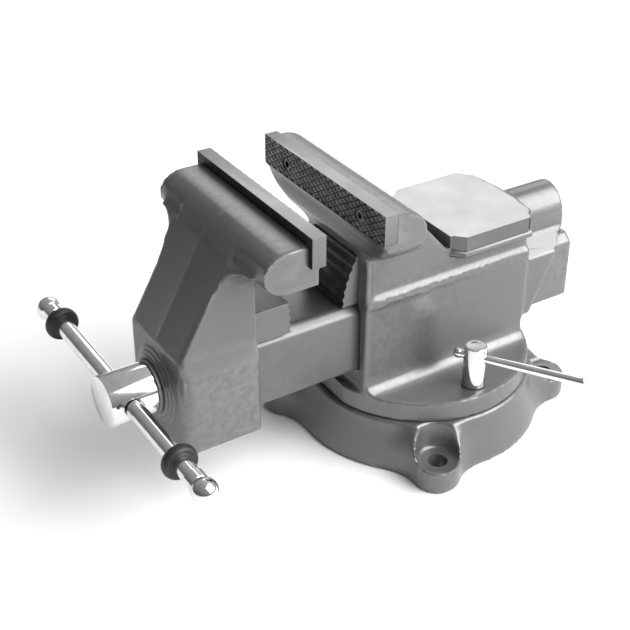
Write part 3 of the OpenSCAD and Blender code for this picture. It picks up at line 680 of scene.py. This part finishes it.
def anvil_side_tool(side):
    """A tool that mills one side of the anvil and the bevel at its front corner."""
    bare = wall_half - 0.002
    far = anvil_half + 5 * milling_allowance
    return prism([(anvil_front + bare - anvil_half + anvil_bevel, side * bare),
                  (anvil_front + anvil_bevel, side * anvil_half), (anvil_rear, side * anvil_half),
                  (anvil_rear, side * far), (anvil_front, side * far), (anvil_front, side * bare)],
                 anvil_bottom, anvil_top + 5 * milling_allowance, "Z")


def milled_steel(name, grey, roughness):
    """Bare milled metal: fine lines across it, and a faint stain."""
    material, tree = new_material(name)
    place = own_place(tree)
    drawn = node_in(tree, "ShaderNodeMapping", Vector=place, Scale=(1.0, 0.04, 1.0)).outputs["Vector"]
    lines = speckle(tree, drawn, 1500.0, 2.0)
    tone = grey_ramp(tree, speckle(tree, place, 40.0, 4.0),
                     ((0.3, grey * 0.88), (0.7, grey * 1.06, grey * 1.05)))
    coat(tree, tone, 1.0, ranged(tree, lines, (roughness - 0.05, roughness + 0.08)), lines, 0.35, 0.00003)
    return material


def arc(centre, width, height, start, end, count):
    """Points on an oval arc between two angles."""
    return [(centre[0] + width * math.cos(a), centre[1] + height * math.sin(a))
            for a in np.linspace(start, end, count)]


def sweep(name, path, section):
    """A closed section of (outward, up) points swept along a level path, mitred at its corners."""
    path = [Vector(point) for point in path]
    rings = []
    for k, here in enumerate(path):
        way_in = (here - path[k - 1]).normalized() if k > 0 else (path[1] - here).normalized()
        way_out = (path[k + 1] - here).normalized() if k < len(path) - 1 else way_in
        way = (way_in + way_out).normalized()
        outward = Vector((way.y, -way.x, 0)) / max(way.dot(way_in), 0.3)
        rings.append([here + outward * a + Vector((0, 0, b)) for a, b in section])
    return loft(name, rings)


def paint_faces(piece, index, wanted):
    """Gives one of a piece's materials to the faces whose middle and normal are wanted, and keeps
    the borders between materials crisp."""
    for face in piece.data.polygons:
        if wanted(face.center, face.normal):
            face.material_index = index
    shell = bmesh.new()
    shell.from_mesh(piece.data)
    for edge in shell.edges:
        if len({face.material_index for face in edge.link_faces}) > 1:
            edge.smooth = False
    shell.to_mesh(piece.data)
    shell.free()


def on_anvil(middle, normal):
    """Whether a face is milled: the anvil's top, its sides and its front corner bevels."""
    if middle.x < anvil_front or middle.x > body_high.x - tail_margin or middle.z < anvil_bottom + 0.0002:
        return False
    return middle.z > anvil_top - 0.0001 or (middle.x < anvil_rear and abs(normal.z) < 0.01)


def at_screws(x, way):
    """The places of a plate's two screws at one level of X, each upright turned along X."""
    return [Matrix.Translation((x, side * screw_offset, screw_level))
            @ Matrix.Rotation(way * math.pi / 2, 4, "Y") for side in (-1, 1)]


def fill_rabbet(piece, node, way, half, top):
    """Casts a jaw plate's rabbet and its screw holes solid, for the mill and the drill to cut."""
    low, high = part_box(node)
    gripping, seat = (low.x, high.x) if way < 0 else (high.x, low.x)
    ends = sorted((gripping, seat - way * rabbet_lap))
    combine(piece, block((ends[0], -half, low.z - rabbet_lap), (ends[1], half, top)), "UNION")
    for hole in at_screws(seat + way * hole_lead, -way):
        combine(piece, drill(hole, plug_radius, 0, plug_depth), "UNION")


def mill_rabbet(piece, node, way):
    """Mills a jaw plate's rabbet open to the gripping side, the ends and the top, and drills it."""
    low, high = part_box(node)
    seat = high.x if way < 0 else low.x
    if way < 0:
        low = low - Vector((mill_reach, 0, 0))
    else:
        high = high + Vector((mill_reach, 0, 0))
    cut(piece, block(low - Vector((mill_skim, overrun, mill_skim)),
                     high + Vector((mill_skim, overrun, overrun))),
        *[drill(hole, tapped_radius, 0, tapped_depth) for hole in at_screws(seat + way * hole_lead, -way)])


body_casting = new_piece("body_casting", shell_of("vise_body"))
combine(body_casting, prism(anvil_outline(milling_allowance), anvil_bottom + 0.001,
                            anvil_top + milling_allowance, "Z"), "UNION")
fill_rabbet(body_casting, "rear_jaw_plate", -1, jaw_half, fixed_head_top)
cast(body_casting, casting_voxel, casting_passes)
soften(body_casting, 40, zone=under_fixed_head)
settle(body_casting, "vise_body")
roughen_ridge(body_casting)
thin_out(body_casting)
cut(body_casting, prism(hollow_outline, -hollow_half, hollow_half, "Y"),
    *[block((anvil_front + anvil_bevel, low, moulding_foot), (anvil_rear, high, anvil_bottom))
      for low, high in ((wall_half, moulding_reach), (-moulding_reach, -wall_half))],
    block((anvil_front, -milled_half, anvil_top), (milled_rear, milled_half, anvil_top + milled_room)),
    anvil_side_tool(1), anvil_side_tool(-1),
    prism(slide_section(slide_gap), body_low.x - overrun, body_high.x + overrun, "X"))
mill_rabbet(body_casting, "rear_jaw_plate", -1)
cut(body_casting, *[drill(Matrix.Translation((0, side * spot_circle, 0)), spot_radius, *spot_levels)
                    for side in (-1, 1)])
mark_edges(body_casting)
smooth_but_edges(body_casting)
finish_in(body_casting, enamel("body enamel", enamel_grey), milled_steel("milled iron", 0.5, 0.42),
          milled_steel("milled iron in painted shade", 0.16, 0.4))
paint_faces(body_casting, 1, lambda middle, normal: on_anvil(middle, normal) and normal.z > 0.5)
# The anvil's sides and corner bevels get a darker copy of its milled iron: painted shade.
paint_faces(body_casting, 2, lambda middle, normal: on_anvil(middle, normal) and normal.z < 0.5)
fit(body_casting, "body", "vise_body", "body_enamel")

# Half-round moulding cast under the anvil's sides and front corner bevels.
for side, side_name in ((-1, "near"), (1, "far")):
    inset = anvil_half - moulding_radius + moulding_stand
    level = anvil_bottom - moulding_radius
    path = [(anvil_front + moulding_lap, side * (inset - anvil_bevel + moulding_lap), level),
            (anvil_front + anvil_bevel, side * inset, level),
            (anvil_rear + moulding_run, side * inset, level)]
    bead = arc((0, 0), moulding_radius, moulding_radius, -math.pi, math.pi, 25)[:-1]
    moulding = sweep(f"anvil_moulding_{side_name}", path, bead)
    smooth_but_edges(moulding, 40)
    finish_in(moulding, body_casting.data.materials[0])
    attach(moulding, "body")


# Jaw plates. Each is a hardened steel bar with a diamond-cut gripping face, ground bright on its
# top and ends, and held in its casting's rabbet by two sunk screws.
diamond_width = 0.0089
diamond_height = 0.0055
diamond_depth = 0.0009
diamond_share = 0.84
plate_ease = 0.0004
screw_hole = 0.0053
tooth_reach = 0.004
tooth_lap = 0.00005


def eased_copy(name, node, width, angle=30):
    """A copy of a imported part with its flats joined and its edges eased."""
    piece = new_piece(name, shell_of(node))
    shell = bmesh.new()
    shell.from_mesh(piece.data)
    join_flats(shell)
    shell.to_mesh(piece.data)
    shell.free()
    step = piece.modifiers.new("ease", "BEVEL")
    step.width = width
    step.segments = 2
    step.limit_method = "ANGLE"
    step.angle_limit = math.radians(angle)
    bake(piece)
    smooth_but_edges(piece, angle)
    return piece


def close_tree(tree, geometry, finish):
    """Ends a geometry tree: makes its instances real and gives them their material."""
    real = node_in(tree, "GeometryNodeRealizeInstances", Geometry=geometry)
    painted = node_in(tree, "GeometryNodeSetMaterial", Geometry=real.outputs["Geometry"], Material=finish)
    node_in(tree, "NodeGroupOutput", Geometry=painted.outputs["Geometry"])
    return tree


def diamond_tree():
    """Rows of blunt diamonds on a face, each second row moved by half a diamond."""
    tree, given = new_tree("diamond cut", "GeometryNodeTree", {
        "Length": "Float", "Height": "Float", "Diamond Width": "Float", "Diamond Height": "Float",
        "Depth": "Float", "Share": "Float", "Finish": "Material"}, {"Geometry": "Geometry"})
    steps = (given["Diamond Width"], given["Diamond Height"])
    counts = [worked(tree, "ADD", worked(tree, "CEIL", worked(tree, "DIVIDE", given[reach], step)), 3)
              for reach, step in zip(("Length", "Height"), steps)]
    spans = [worked(tree, "MULTIPLY", worked(tree, "SUBTRACT", count, 1), step)
             for count, step in zip(counts, steps)]
    halves = [worked(tree, "MULTIPLY", worked(tree, "MULTIPLY", step, 0.5), given["Share"])
              for step in steps]
    cone = node_in(tree, "GeometryNodeMeshCone", Vertices=4, Radius_Top=0.3, Radius_Bottom=1.0, Depth=1.0)
    size = node_in(tree, "ShaderNodeCombineXYZ", X=halves[0], Y=halves[1], Z=given["Depth"])
    join = tree.nodes.new("GeometryNodeJoinGeometry")
    for shift in (0.0, 0.5):
        grid = node_in(tree, "GeometryNodeMeshGrid", Size_X=spans[0], Size_Y=spans[1],
                       Vertices_X=counts[0], Vertices_Y=counts[1])
        offset = node_in(tree, "ShaderNodeCombineXYZ", X=worked(tree, "MULTIPLY", steps[0], shift),
                         Y=worked(tree, "MULTIPLY", steps[1], shift))
        moved = node_in(tree, "GeometryNodeSetPosition", Geometry=grid.outputs["Mesh"],
                        Offset=offset.outputs["Vector"])
        placed = node_in(tree, "GeometryNodeInstanceOnPoints", Points=moved.outputs["Geometry"],
                         Instance=cone.outputs["Mesh"], Scale=size.outputs["Vector"])
        tree.links.new(placed.outputs["Instances"], join.inputs["Geometry"])
    return close_tree(tree, join.outputs["Geometry"], given["Finish"])


def grown(name, tree, values):
    """A piece grown by a geometry tree, whose inputs are set before it is first worked out."""
    piece = new_piece(name, bmesh.new())
    step = piece.modifiers.new("tree", "NODES")
    step.node_group = tree
    for socket in tree.interface.items_tree:
        if socket.in_out == "INPUT":
            step[socket.identifier] = values[socket.name]
    bake(piece)
    return piece


def dark_steel(name, grey, roughness, fineness=700.0):
    """Hardened steel with a dark scale, rubbed paler on the high spots."""
    material, tree = new_material(name)
    place = own_place(tree)
    scale = speckle(tree, place, fineness, 3.0)
    tone = grey_ramp(tree, speckle(tree, place, 90.0, 4.0),
                     ((0.35, grey * 0.7, grey * 0.72), (0.68, grey * 1.5, grey * 1.45)))
    coat(tree, tone, 0.7, ranged(tree, scale, (roughness - 0.08, roughness + 0.1)), scale, 0.4, 0.00005)
    return material


diamond_cut = diamond_tree()
cut_steel = dark_steel("cut steel", 0.2, 0.36)
plate_shade_steel = dark_steel("plate steel in painted shade", 0.03, 0.6)
plate_steel = milled_steel("ground steel", 0.36, 0.42)
plate_end_steel = milled_steel("sawn steel", 0.2, 0.45)


def jaw_plate(name, node, way, body):
    """A jaw plate whose gripping face looks along X, with its diamonds as a second piece."""
    low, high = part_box(node)
    plate = eased_copy(name, node, plate_ease)
    face = high.x if way > 0 else low.x
    ends = sorted((face + way * 0.001, face - way * diamond_depth))
    cut(plate, block((ends[0], low.y - overrun, low.z - overrun),
                     (ends[1], high.y + overrun, high.z + overrun)))
    smooth_but_edges(plate)
    finish_in(plate, plate_steel, plate_shade_steel, plate_end_steel)
    # The grooves between the diamonds and the plate's back are painted near black: painted shade.
    paint_faces(plate, 1, lambda middle, normal: abs(normal.x) > 0.7)
    paint_faces(plate, 2, lambda middle, normal: abs(normal.y) > 0.7)
    teeth = grown(name + "_diamonds", diamond_cut, {
        "Length": high.y - low.y, "Height": high.z - low.z, "Diamond Width": diamond_width,
        "Diamond Height": diamond_height, "Depth": diamond_depth, "Share": diamond_share,
        "Finish": cut_steel})
    turn = Matrix(((0, 0, way, face - way * (diamond_depth + tooth_lap)), (-way, 0, 0, 0),
                   (0, 1, 0, (low.z + high.z) / 2), (0, 0, 0, 1)))
    teeth.data.transform(turn)
    if turn.determinant() < 0:
        teeth.data.flip_normals()
    combine(teeth, block((face - tooth_reach, low.y + plate_ease, low.z + plate_ease),
                         (face + tooth_reach, high.y - plate_ease, high.z - plate_ease)), "INTERSECT")
    cut(teeth, *[drill(hole, screw_hole, -tooth_reach, tooth_reach) for hole in at_screws(face, 1)])
    finish_in(teeth, cut_steel)
    for piece in (plate, teeth):
        fit(piece, body, node, "plate_steel")


jaw_plate("fixed_jaw_plate", "rear_jaw_plate", -1, "body")
jaw_plate("moving_jaw_plate", "front_jaw_plate", 1, "jaw")


# Moving jaw. One grey iron casting of the jaw's head, its sloping column, the block with the
# rings of the screw's boss, and the long slide that runs through the body.
moving_head_half = 0.078
moving_head_top = 0.232
under_moving_head = ((-0.225, 0.042, 0.172), (-0.176, 0.0772, 0.2225))
crease_x = -0.24
parting_half = 0.0016
parting_height = 0.00045
parting_foot = 0.143
boss_radii = (0.030, 0.027, 0.024)
boss_step = 0.0016
boss_edge = 0.0011
boss_flare = 0.0018
boss_root = 0.004
boss_room = 0.033
shaft_bore = 0.0132
boss_level = (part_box("thrust_washer")[0].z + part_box("thrust_washer")[1].z) / 2


def leave_parting_line(piece):
    """Raises the thin line down the column's front and over the head, where the mould's halves met."""
    for vertex in piece.data.vertices:
        aside = abs(vertex.co.y) / parting_half
        if aside < 1 and vertex.normal.x < -0.2 and vertex.co.z > parting_foot:
            vertex.co += vertex.normal * parting_height * (1 - aside)


def boss_form():
    """The three turned rings round the screw, each with a rounded edge, and the bore in them."""
    profile = [(shaft_bore, crease_x - 3 * boss_step)]
    for ring in (2, 1, 0):
        edge = (boss_radii[ring] - boss_edge, crease_x - (ring + 1) * boss_step + boss_edge)
        profile += arc(edge, boss_edge, boss_edge, -math.pi / 2, 0, 6)
    foot = boss_radii[0] + boss_flare
    profile += [(boss_radii[0] + 0.0004, crease_x - 0.0003), (foot, crease_x + 0.0004),
                (foot, crease_x + boss_root), (shaft_bore, crease_x + boss_root)]
    turn = Matrix.Translation((0, 0, boss_level)) @ Matrix.Rotation(math.pi / 2, 4, "Y")
    return lathe("boss", profile, turn, 144)


jaw_casting = new_piece("jaw_casting", shell_of("moving_jaw"))
fill_rabbet(jaw_casting, "front_jaw_plate", 1, moving_head_half, moving_head_top)
cut(jaw_casting, block((crease_x - 0.01, -boss_room, boss_level - boss_room),
                       (crease_x - 0.0001, boss_room, boss_level + boss_room)))
cast(jaw_casting, casting_voxel, casting_passes)
soften(jaw_casting, 60, zone=under_moving_head)
settle(jaw_casting, "moving_jaw")
leave_parting_line(jaw_casting)
thin_out(jaw_casting)
mill_rabbet(jaw_casting, "front_jaw_plate", 1)
combine(jaw_casting, boss_form(), "UNION")
mark_edges(jaw_casting)
smooth_but_edges(jaw_casting)
fit(jaw_casting, "jaw", "moving_jaw", "jaw_enamel", enamel("jaw enamel", enamel_grey))


# Plate screws. Four steel socket-head screws, two to a plate, sunk below the gripping faces.
screw_head = 0.0052
screw_head_depth = 0.005
screw_shank = 0.0035
screw_shank_length = 0.018
screw_sink = 0.0015
socket_radius = 0.0029
socket_depth = 0.003


def set_out_tree():
    """Copies of one turned part at even steps along a row."""
    tree, given = new_tree("set out in a row", "GeometryNodeTree", {
        "Pattern": "Object", "Count": "Int", "Step": "Vector", "First": "Vector",
        "Finish": "Material"}, {"Geometry": "Geometry"})
    row = node_in(tree, "GeometryNodeMeshLine", Count=given["Count"], Offset=given["Step"],
                  Start_Location=given["First"])
    part = node_in(tree, "GeometryNodeObjectInfo", Object=given["Pattern"])
    placed = node_in(tree, "GeometryNodeInstanceOnPoints", Points=row.outputs["Mesh"],
                     Instance=part.outputs["Geometry"])
    return close_tree(tree, placed.outputs["Instances"], given["Finish"])


row_of_parts = set_out_tree()
screw_steel = dark_steel("screw steel", 0.12, 0.3, 900.0)
ease = 0.0003

for name, node, face, way, body in (
        ("fixed_plate_screws", "rear_plate_screws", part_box("rear_jaw_plate")[0].x, -1, "body"),
        ("moving_plate_screws", "front_plate_screws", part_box("front_jaw_plate")[1].x, 1, "jaw")):
    foot = -screw_head_depth - screw_shank_length
    pattern = lathe("pattern", [
        (0, foot), (screw_shank - ease, foot), (screw_shank, foot + ease), (screw_shank, -screw_head_depth),
        (screw_head, -screw_head_depth), (screw_head, -ease), (screw_head - ease, 0), (0, 0)], segments=48)
    cut(pattern, lathe("tool", [(0, -socket_depth), (socket_radius, -socket_depth), (socket_radius, ease),
                                (0, ease)], segments=6))
    pattern.data.transform(Matrix.Rotation(way * math.pi / 2, 4, "Y"))
    screws = grown(name, row_of_parts, {
        "Pattern": pattern, "Count": 2, "Step": (0, 2 * screw_offset, 0),
        "First": (face - way * screw_sink, -screw_offset, screw_level), "Finish": screw_steel})
    bpy.data.objects.remove(pattern)
    smooth_but_edges(screws, 30)
    fit(screws, body, node, "screw_steel", screw_steel)


# Pipe jaws. Two forged steel blocks with coarse teeth below the jaw plates, for round work. The teeth are
# near black, partly their dark scale and partly painted shade, and the sides are ground.
pipe_ease = 0.0004
pipe_side = milled_steel("ground side", 0.2, 0.45)
pipe_teeth = dark_steel("pipe jaw teeth", 0.045, 0.5)

for name, node, body in (("fixed_pipe_jaw", "rear_pipe_jaw", "body"),
                         ("moving_pipe_jaw", "front_pipe_jaw", "jaw")):
    pipe_jaw = eased_copy(name, node, pipe_ease, 20)
    # The teeth get near-black steel, partly their scale and partly painted shade; the top and the sides get a
    # lighter ground steel.
    finish_in(pipe_jaw, pipe_teeth, pipe_side)
    paint_faces(pipe_jaw, 1, lambda middle, normal: abs(normal.y) > 0.9 or normal.z > 0.9)
    fit(pipe_jaw, body, node, "pipe_jaw_steel")


# Screw. A steel bar with a square thread behind a turned and chromed hub, which is drilled across
# for the handle. A washer takes its thrust at the boss, and a pinned collar holds it there.
screw_low, screw_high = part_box("spindle")
axis_level = (screw_low.z + screw_high.z) / 2
hub_radius = (screw_high.z - screw_low.z) / 2
hub_rear = -0.2476
shaft_radius = 0.013
plain_end = -0.1556
thread_pitch = 0.00635
thread_depth = 0.002
core_radius = shaft_radius - thread_depth
bar_radius = 0.007
bar_clearance = 0.0003
bar_low, bar_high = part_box("handle_bar")
bar_x = (bar_low.x + bar_high.x) / 2
hub_bevel = 0.0008
mouth_radius = 0.0081
mouth_depth = 0.0155
along_x = Matrix.Translation((0, 0, axis_level)) @ Matrix.Rotation(math.pi / 2, 4, "Y")
along_bar = Matrix.Translation((bar_x, 0, axis_level)) @ Matrix.Rotation(-math.pi / 2, 4, "X")


def chrome(name, roughness=0.10, tarnish=0.06):
    """Bright chrome plating with faint smudges and polishing marks."""
    material, tree = new_material(name)
    place = own_place(tree)
    smudge = speckle(tree, place, 95.0, 5.0, 0.65)
    tone = grey_ramp(tree, smudge, ((0.3, 0.68), (0.6, 0.80)))
    gloss = ranged(tree, smudge, (roughness - 0.04, roughness + tarnish))
    coat(tree, tone, 1.0, gloss, speckle(tree, place, 2600.0, 1.0), 0.12, 0.00002)
    return material


def thread_tree():
    """A ridge wound round a shaft, from a closed section drawn in the thread's own pitch."""
    tree, given = new_tree("screw thread", "GeometryNodeTree", {
        "Turns": "Float", "Pitch": "Float", "Radius": "Float", "Depth": "Float", "Width": "Float",
        "Finish": "Material"}, {"Geometry": "Geometry"})
    middle = worked(tree, "SUBTRACT", given["Radius"], worked(tree, "MULTIPLY", given["Depth"], 0.5))
    helix = node_in(tree, "GeometryNodeCurveSpiral", Resolution=48, Rotations=given["Turns"],
                    Start_Radius=middle, End_Radius=middle,
                    Height=worked(tree, "MULTIPLY", given["Turns"], given["Pitch"]))
    upright = node_in(tree, "GeometryNodeSetCurveNormal", Curve=helix.outputs["Curve"])
    upright.mode = "Z_UP"
    section = node_in(tree, "GeometryNodeCurvePrimitiveQuadrilateral")
    section.mode = "TRAPEZOID"
    feed(tree, section, Offset=0.0, Bottom_Width=given["Width"],
         Top_Width=worked(tree, "MULTIPLY", given["Width"], 0.5),
         Height=worked(tree, "MULTIPLY", given["Depth"], 1.15))
    ridge = node_in(tree, "GeometryNodeCurveToMesh", Curve=upright.outputs["Curve"],
                    Profile_Curve=section.outputs["Curve"], Fill_Caps=True)
    return close_tree(tree, ridge.outputs["Mesh"], given["Finish"])


thread_steel = dark_steel("thread steel", 0.16, 0.3, 500.0)
hub = lathe("screw_hub", [
    (0, screw_low.x), (hub_radius - hub_bevel, screw_low.x),
    (hub_radius - hub_bevel * 0.3, screw_low.x + hub_bevel * 0.3),
    (hub_radius, screw_low.x + hub_bevel), (hub_radius, hub_rear - hub_bevel),
    (hub_radius - hub_bevel, hub_rear), (0, hub_rear)], along_x, 160)
cut(hub, drill(along_bar, bar_radius + bar_clearance, -2 * hub_radius, 2 * hub_radius),
    drill(along_bar, mouth_radius, mouth_depth, 2 * hub_radius),
    drill(along_bar, mouth_radius, -2 * hub_radius, -mouth_depth))
smooth_but_edges(hub, 30)
fit(hub, "screw", "spindle", "chrome", chrome("hub chrome"))

shaft = lathe("screw_shaft", [
    (0, hub_rear), (shaft_radius, hub_rear), (shaft_radius, plain_end), (core_radius, plain_end + 0.001),
    (core_radius, screw_high.x - 0.001), (core_radius - 0.001, screw_high.x), (0, screw_high.x)], along_x)
smooth_but_edges(shaft, 30)
fit(shaft, "screw", "spindle", "screw_steel", thread_steel)

thread_turns = int((screw_high.x - plain_end) / thread_pitch) - 1
thread = grown("screw_thread", thread_tree(), {
    "Turns": float(thread_turns), "Pitch": thread_pitch, "Radius": shaft_radius, "Depth": thread_depth,
    "Width": thread_pitch * 0.6, "Finish": thread_steel})
thread.data.transform(Matrix.Translation((plain_end + 0.6 * thread_pitch, 0, axis_level))
                      @ Matrix.Rotation(math.pi / 2, 4, "Y"))
smooth_but_edges(thread, 30)
fit(thread, "screw", "spindle", "screw_steel", thread_steel)

for name, node in (("thrust_ring", "thrust_washer"), ("screw_collar", "spindle_retainer"),
                   ("collar_pin", "retainer_pin")):
    fit(eased_copy(name, node, 0.0003), "screw", node, "bolt_steel", thread_steel)


# Handle. A chromed bar slides through the hub. A turned cap is pressed on each end, and a rubber
# ring inside each cap softens the knock when the bar drops.
cap_neck = 0.008
cap_ball = 0.00975
cap_socket = 0.005
cap_groove = 0.0003
cap_bore = bar_radius + 0.0001
bumper_groove = 0.0007

bar = lathe("handle_rod", [
    (0, bar_low.y), (bar_radius - ease, bar_low.y), (bar_radius, bar_low.y + ease),
    (bar_radius, bar_high.y - ease), (bar_radius - ease, bar_high.y), (0, bar_high.y)], along_bar)
smooth_but_edges(bar, 30)
fit(bar, "handle", "handle_bar", "chrome", chrome("bar chrome", 0.16))

cap_chrome = chrome("cap chrome", 0.07, 0.04)
for name, node, way in (("handle_end_near", "handle_cap_near", -1),
                        ("handle_end_far", "handle_cap_far", 1)):
    cap_low, cap_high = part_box(node)
    length = cap_high.y - cap_low.y
    ball_level = length - cap_ball
    meet = ball_level - math.sqrt(cap_ball ** 2 - cap_neck ** 2)
    profile = [(0, cap_socket), (cap_bore, cap_socket), (cap_bore, 0), (cap_neck - ease, 0),
               (cap_neck, ease), (cap_neck, meet - 0.0014), (cap_neck - cap_groove, meet - 0.001),
               (cap_neck - cap_groove, meet - 0.0002)]
    profile += arc((0, ball_level), cap_ball, cap_ball, -math.acos(cap_neck / cap_ball), math.pi / 2, 26)[:-1]
    profile += [(0, length)]
    seat = cap_high.y if way < 0 else cap_low.y
    turn = Matrix.Translation((bar_x, seat, axis_level)) @ Matrix.Rotation(-way * math.pi / 2, 4, "X")
    cap = lathe(name, profile, turn)
    smooth_but_edges(cap, 35)
    fit(cap, "handle", node, "chrome", cap_chrome)


def soft_black(name):
    """Matt black rubber with a fine grain and a little dust."""
    material, tree = new_material(name)
    place = own_place(tree)
    dust = speckle(tree, place, 120.0, 4.0)
    tone = grey_ramp(tree, dust, ((0.35, 0.010), (0.75, 0.022)))
    coat(tree, tone, 0.0, ranged(tree, dust, (0.42, 0.6)), speckle(tree, place, 1800.0, 3.0), 0.3, 0.00004)
    return material


rubber = soft_black("black rubber")
for name, node in (("rubber_ring_near", "bumper_near_side"), ("rubber_ring_far", "bumper_far_side")):
    ring_low, ring_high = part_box(node)
    half_width = (ring_high.y - ring_low.y) / 2
    shoulder = half_width * 0.66
    crown_foot = (ring_high.z - ring_low.z) / 2 - shoulder
    bore, lip, slope = bar_radius + 0.00005, bar_radius + 0.0016, bar_radius + 0.0022
    dip = half_width - bumper_groove
    profile = [(bore, half_width), (bore, -half_width), (lip, -half_width), (slope, -dip),
               (crown_foot, -dip)]
    profile += arc((crown_foot, 0), shoulder, half_width, -math.pi / 2 + 0.35, math.pi / 2 - 0.35, 18)
    profile += [(crown_foot, dip), (slope, dip), (lip, half_width)]
    turn = Matrix.Translation((0, (ring_low.y + ring_high.y) / 2, 0)) @ along_bar
    ring = lathe(name, profile, turn)
    smooth_but_edges(ring, 40)
    fit(ring, "handle", node, "rubber", rubber)


# Lock bolts. A chromed head with a sliding bar tightens each bolt in a clamp nut, which runs in
# the base's groove and holds the body at the wanted turn.
lock_circle = 0.0765
lock_bar_level = 0.0853
lock_bar_radius = 0.0035
lock_bore = 0.0038
lock_ball = 0.0042
lock_short = 0.014
lock_long = 0.088
lock_tip = 0.004
lock_shank = 0.0064
cup_depth = 0.0007
head_taper = 0.0004
bolt_foot = 0.0593
lock_chrome = chrome("lock chrome", 0.12)

for side, turn, near in ((-1, -56, "near"), (1, 124, "far")):
    bolt_low, bolt_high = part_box(near + "_lock_bolt")
    radius = (bolt_high.y - bolt_low.y) / 2
    neck = radius - head_taper
    top = bolt_high.z
    stand = Matrix.Translation((0, side * lock_circle, 0))
    bolt = lathe(near + "_bolt_head", [
        (0, bolt_low.z), (lock_shank - ease, bolt_low.z), (lock_shank, bolt_low.z + ease),
        (lock_shank, bolt_foot), (radius - 0.0008, bolt_foot), (radius, bolt_foot + 0.0008),
        (neck, top - 0.0022), (neck - 0.0004, top - 0.0008), (neck - 0.0014, top - 0.0001),
        (neck - 0.0026, top), (neck - 0.0042, top - cup_depth * 0.6),
        (radius * 0.3, top - cup_depth), (0, top - cup_depth)], stand, 128)
    turned = Matrix.Rotation(math.radians(turn), 4, "Z") @ Matrix.Rotation(math.pi / 2, 4, "Y")
    lie = stand @ Matrix.Translation((0, 0, lock_bar_level)) @ turned
    cut(bolt, drill(lie, lock_bore, -2 * radius, 2 * radius))
    smooth_but_edges(bolt, 35)
    fit(bolt, near + "_lock", near + "_lock_bolt", "chrome", lock_chrome)

    ball = arc((0, -lock_short), lock_ball, lock_ball, -math.pi / 2,
               math.acos(lock_bar_radius / lock_ball), 16)
    rod = lathe(near + "_bar_rod", [(0, ball[0][1])] + ball[1:] + [
        (lock_bar_radius, lock_long - 0.008), (lock_bar_radius * 0.97, lock_long - 0.006),
        (lock_tip - 0.0001, lock_long - 0.002), (lock_tip, lock_long - 0.0008),
        (lock_tip - ease, lock_long - 0.0001),
        (lock_bar_radius * 0.8, lock_long), (0, lock_long)], lie, 64)
    smooth_but_edges(rod, 35)
    fit(rod, near + "_bar", near + "_lock_bar", "chrome", lock_chrome)
    clamp = eased_copy(near + "_groove_nut", near + "_clamp_nut", 0.0004)
    fit(clamp, near + "_nut", near + "_clamp_nut", "nut_iron", thread_steel)


# Inner parts. A steel bolt and washer hold the body down on the base, and an iron nut on the
# body's floor, bolted from below, takes the screw.
nut_iron = enamel("bare iron", 0.16, fineness=800.0, relief=0.00008, roughness=0.5)
for name, node, finish, slot_name in (
        ("base_bolt", "pivot_bolt", thread_steel, "bolt_steel"),
        ("base_washer", "pivot_washer", thread_steel, "bolt_steel"),
        ("screw_nut", "spindle_nut", nut_iron, "nut_iron"),
        ("nut_holding_bolt", "nut_bolt", thread_steel, "bolt_steel")):
    inner_part = eased_copy(name, node, 0.0005)
    mark_edges(inner_part)
    fit(inner_part, "body", node, slot_name, finish)
